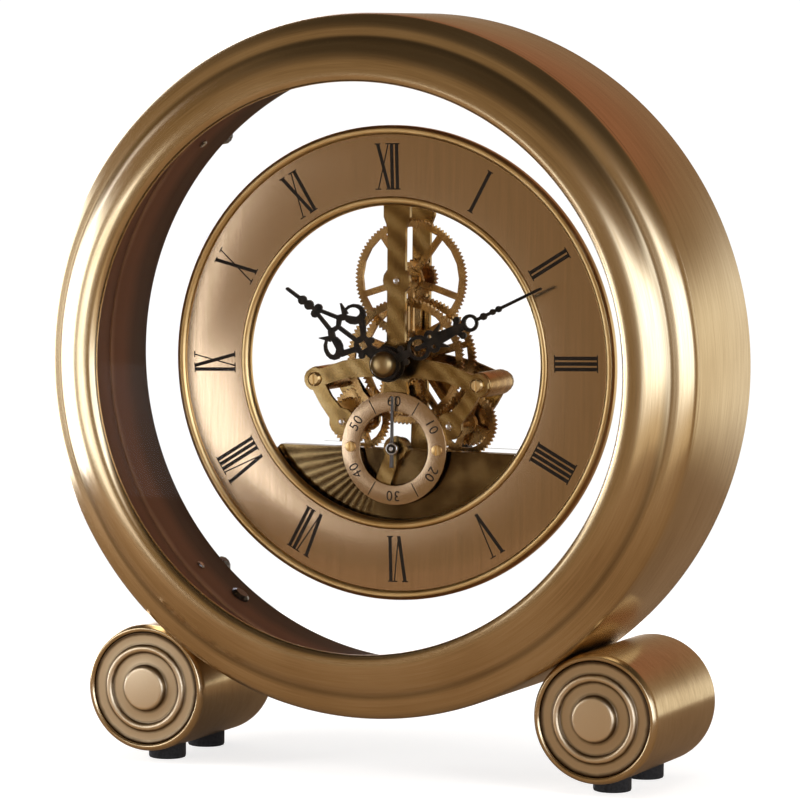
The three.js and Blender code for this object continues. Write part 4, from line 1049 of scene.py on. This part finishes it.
def dress_nodes(bright, steel, gold, wheel):
    """A finish for each CAD node that stays: the width is how far its edges are eased, in millimetres"""
    wheels = [
        "centre_wheel_front", "centre_wheel_rear", "upper_wheel", "left_wheel", "right_wheel", "drive_wheel",
        "motion_wheel", "hour_wheel",
    ]
    small_bright = ["pane_screw_left", "pane_screw_right", "minute_arbor", "seconds_arbor"]
    groups = [
        (gold, 0.12, ["plate_screw_left", "plate_screw_right"]),
        (plate_brass(), 0.18, ["front_plate", "rear_plate"]),
        (wheel, 0.07, wheels),
        (bright, 0.1, [f"core_screw_{i}" for i in range(1, 5)] + small_bright),
        (steel, 0.1, ["foot_bolt_left", "foot_bolt_right"]),
        (black_metal(), 0.14, ["hour_hand", "minute_hand"]),
        (clear_pane(), 0.0, ["front_glass", "rear_pane"]),
        (bumper_gel(), 0.0, [f"pane_bumper_{i}" for i in range(1, 5)]),
        (moulded_black(), 0.3, ["battery_cover", "drive_cover", "setting_knob"]),
        (housing_gold(), 0.4, ["movement_housing"]),
        (battery_film(), 0.3, ["battery"]),
        (copper(), 0.0, ["drive_coil"]),
        (board_green(), 0.0, ["circuit_board"]),
    ]
    for material, width, nodes in groups:
        for node in nodes:
            paint_node(node, material, width * MM)


# Room, light and camera

def floor():
    """A pale round floor that keeps the clock's shadow"""
    bm = bmesh.new()
    bmesh.ops.create_circle(bm, cap_ends=True, segments=96, radius=FLOOR_R)
    mesh = bpy.data.meshes.new("floor")
    bm.to_mesh(mesh)
    bm.free()
    material, tree, shader = new_material("floor")
    path = add(tree, "ShaderNodeLightPath")
    colour = blend(tree, path.outputs["Is Glossy Ray"], (*FLOOR_COLOUR, 1), (*FLOOR_MIRRORED, 1))
    tree.links.new(colour, shader.inputs["Base Color"])
    shader.inputs["Roughness"].default_value = 0.9
    shader.inputs["Specular IOR Level"].default_value = 0.1
    mirrored = maths(tree, "MULTIPLY", path.outputs["Is Glossy Ray"], MIRRORED_GLOW)
    seen = maths(tree, "ADD", path.outputs["Is Camera Ray"], mirrored)
    seen = maths(tree, "ADD", seen, path.outputs["Is Transmission Ray"])
    seen = maths(tree, "MINIMUM", seen, 1.0)
    from_middle = maths(tree, "DIVIDE", from_axis(tree, 1)[1], FLOOR_R)
    glow = ramp(tree, from_middle, [(0.45, 0.75), (0.95, 1.0)])
    shader.inputs["Emission Color"].default_value = (1, 1, 1, 1)
    tree.links.new(maths(tree, "MULTIPLY", seen, glow), shader.inputs["Emission Strength"])
    mesh.materials.append(material)
    obj = bpy.data.objects.new("floor", mesh)
    bpy.context.scene.collection.objects.link(obj)


def smooth_step(tree, value, low, high):
    inputs = {"Value": value, "From Min": low, "From Max": high}
    return add(tree, "ShaderNodeMapRange", inputs, interpolation_type="SMOOTHSTEP").outputs["Result"]


def bright_patch(tree, x, y, z, azimuth, half_width, low, high):
    """1 inside a soft-edged patch of the room and 0 outside it

    The azimuth turns from -Y towards +X. Low and high are heights on a sphere of radius 1.
    """
    least_level = 0.05
    turn_to = math.radians(azimuth)
    towards = maths(tree, "MULTIPLY", x, math.sin(turn_to))
    towards = maths(tree, "SUBTRACT", towards, maths(tree, "MULTIPLY", y, math.cos(turn_to)))
    level = maths(tree, "SQRT", maths(tree, "SUBTRACT", 1.0, maths(tree, "MULTIPLY", z, z)))
    towards = maths(tree, "DIVIDE", towards, maths(tree, "MAXIMUM", level, least_level))
    outer = math.cos(math.radians(half_width + PATCH_SOFT_DEGREES))
    inner = math.cos(math.radians(max(half_width - PATCH_SOFT_DEGREES, 0)))
    across = smooth_step(tree, towards, outer, inner)
    above = smooth_step(tree, z, low - PATCH_SOFT, low + PATCH_SOFT)
    below = smooth_step(tree, z, high + PATCH_SOFT, high - PATCH_SOFT)
    return maths(tree, "MULTIPLY", across, maths(tree, "MULTIPLY", above, below))


# What metal and glass show of the room: its tone from below to above, and patches as azimuth, half width,
# low, high and colour
ROOM_STOPS = [
    (0.0, (0.28, 0.18, 0.10)),
    (0.5, (0.32, 0.215, 0.12)),
    (0.7, (0.30, 0.205, 0.12)),
    (0.9, (0.07, 0.05, 0.03)),
]
ROOM_PATCHES = [
    (-5, 55, -0.45, 0.5, (0.29, 0.20, 0.115)),
    (203, 24, -0.16, 0.10, (0.55, 0.48, 0.40)),
    (160, 18, -0.20, 0.15, (1.08, 1.0, 0.84)),
    (186, 34, 0.34, 0.62, (0.36, 0.16, 0.09)),
    (60, 42, -0.60, -0.13, (0.80, 0.65, 0.46)),
    (58, 38, -0.13, 0.36, (2.6, 2.8, 3.3)),
    (-105, 32, -0.42, 0.20, (5.2, 5.6, 6.6)),
    (-132, 18, -0.06, 0.45, (4.2, 4.5, 5.2)),
]


def room():
    """White to the camera and through glass; to gloss, a dim warm room; to the rest, even light"""
    world = bpy.data.worlds.new("studio")
    bpy.context.scene.world = world
    world.use_nodes = True
    tree = world.node_tree
    background = tree.nodes["Background"]
    path = add(tree, "ShaderNodeLightPath")
    direction = add(tree, "ShaderNodeTexCoord").outputs["Generated"]
    x, y, z = split_xyz(tree, direction)
    height = maths(tree, "ADD", maths(tree, "MULTIPLY", z, 0.5), 0.5)
    studio = ramp(tree, height, ROOM_STOPS)
    for azimuth, half_width, low, high, colour in ROOM_PATCHES:
        patch = bright_patch(tree, x, y, z, azimuth, half_width, low, high)
        studio = blend(tree, patch, studio, (*colour, 1))
    seen = maths(tree, "ADD", path.outputs["Is Camera Ray"], path.outputs["Is Transmission Ray"])
    seen = maths(tree, "MINIMUM", seen, 1.0)
    glossy = blend(tree, path.outputs["Is Glossy Ray"], (*AMBIENT, 1), studio)
    final = blend(tree, seen, glossy, (WHITE, WHITE, WHITE, 1))
    tree.links.new(final, background.inputs["Color"])
    background.inputs["Strength"].default_value = 1.0


def softbox(name, at, aim, width, height, power, mirrored=False):
    """A soft rectangular light: one that is mirrored shows in the brass, in the windows' colour"""
    light = bpy.data.lights.new(name, "AREA")
    light.shape = "RECTANGLE"
    light.size = width
    light.size_y = height
    light.energy = power
    if mirrored:
        light.color = WINDOW
    obj = bpy.data.objects.new(name, light)
    obj.location = at
    direction = Vector(aim) - Vector(at)
    obj.rotation_euler = direction.to_track_quat("-Z", "Y").to_euler()
    bpy.context.scene.collection.objects.link(obj)
    obj.visible_glossy = mirrored


def lights():
    """Three soft lights, and two cards at the left for the bezel's and the dial's reflections"""
    middle = (0.0, 0.0, 0.12)
    softbox("left_box", (-1.3, -1.2, 0.75), middle, 0.9, 1.2, 24.0)
    softbox("right_box", (1.45, -0.75, 0.5), middle, 0.7, 1.2, 16.0)
    softbox("top_box", (0.1, -0.5, 1.7), middle, 1.3, 0.9, 12.0)
    softbox("near_card", (-0.265, -0.30, 0.082), (-0.265, 0.0, 0.082), 0.22, 0.05, 0.075, True)
    softbox("tall_card", (-0.33, -0.30, 0.125), (-0.33, 0.0, 0.125), 0.20, 0.19, 0.30, True)


def camera():
    """The photograph's viewing angle and framing"""
    data = bpy.data.cameras.new("camera")
    data.lens = CAMERA_LENS
    data.sensor_width = SENSOR
    data.clip_end = 50.0
    obj = bpy.data.objects.new("camera", data)
    axes = Matrix((CAMERA_RIGHT, CAMERA_UP, CAMERA_BACK)).transposed().to_4x4()
    obj.matrix_world = Matrix.Translation(CAMERA_AT) @ axes
    bpy.context.scene.collection.objects.link(obj)
    bpy.context.scene.camera = obj


camera()
room()
lights()
floor()

brass = brushed_brass()
ink = printed_black()
front_bezel(brushed_brass("bezel_brass", groove=True))
drum_band(brass)
case_walls()
feet(brass, rubber())
gold = polished_gold()
dial(dial_brass(), gold)
numerals(ink)
seconds_dial(dial_brass("seconds_brass", 0.95), ink)
bright = silver()
hand_nut(polished_gold("nut_gold", 0.5))
steel = dark_steel()
seconds_hand(steel, black_metal(), bright)
pivot_pins(bright)
wheel = wheel_brass()
pillars(wheel)
seconds_screws(gold)
dress_nodes(bright, steel, gold, wheel)

bpy.context.scene.view_settings.view_transform = "Standard"
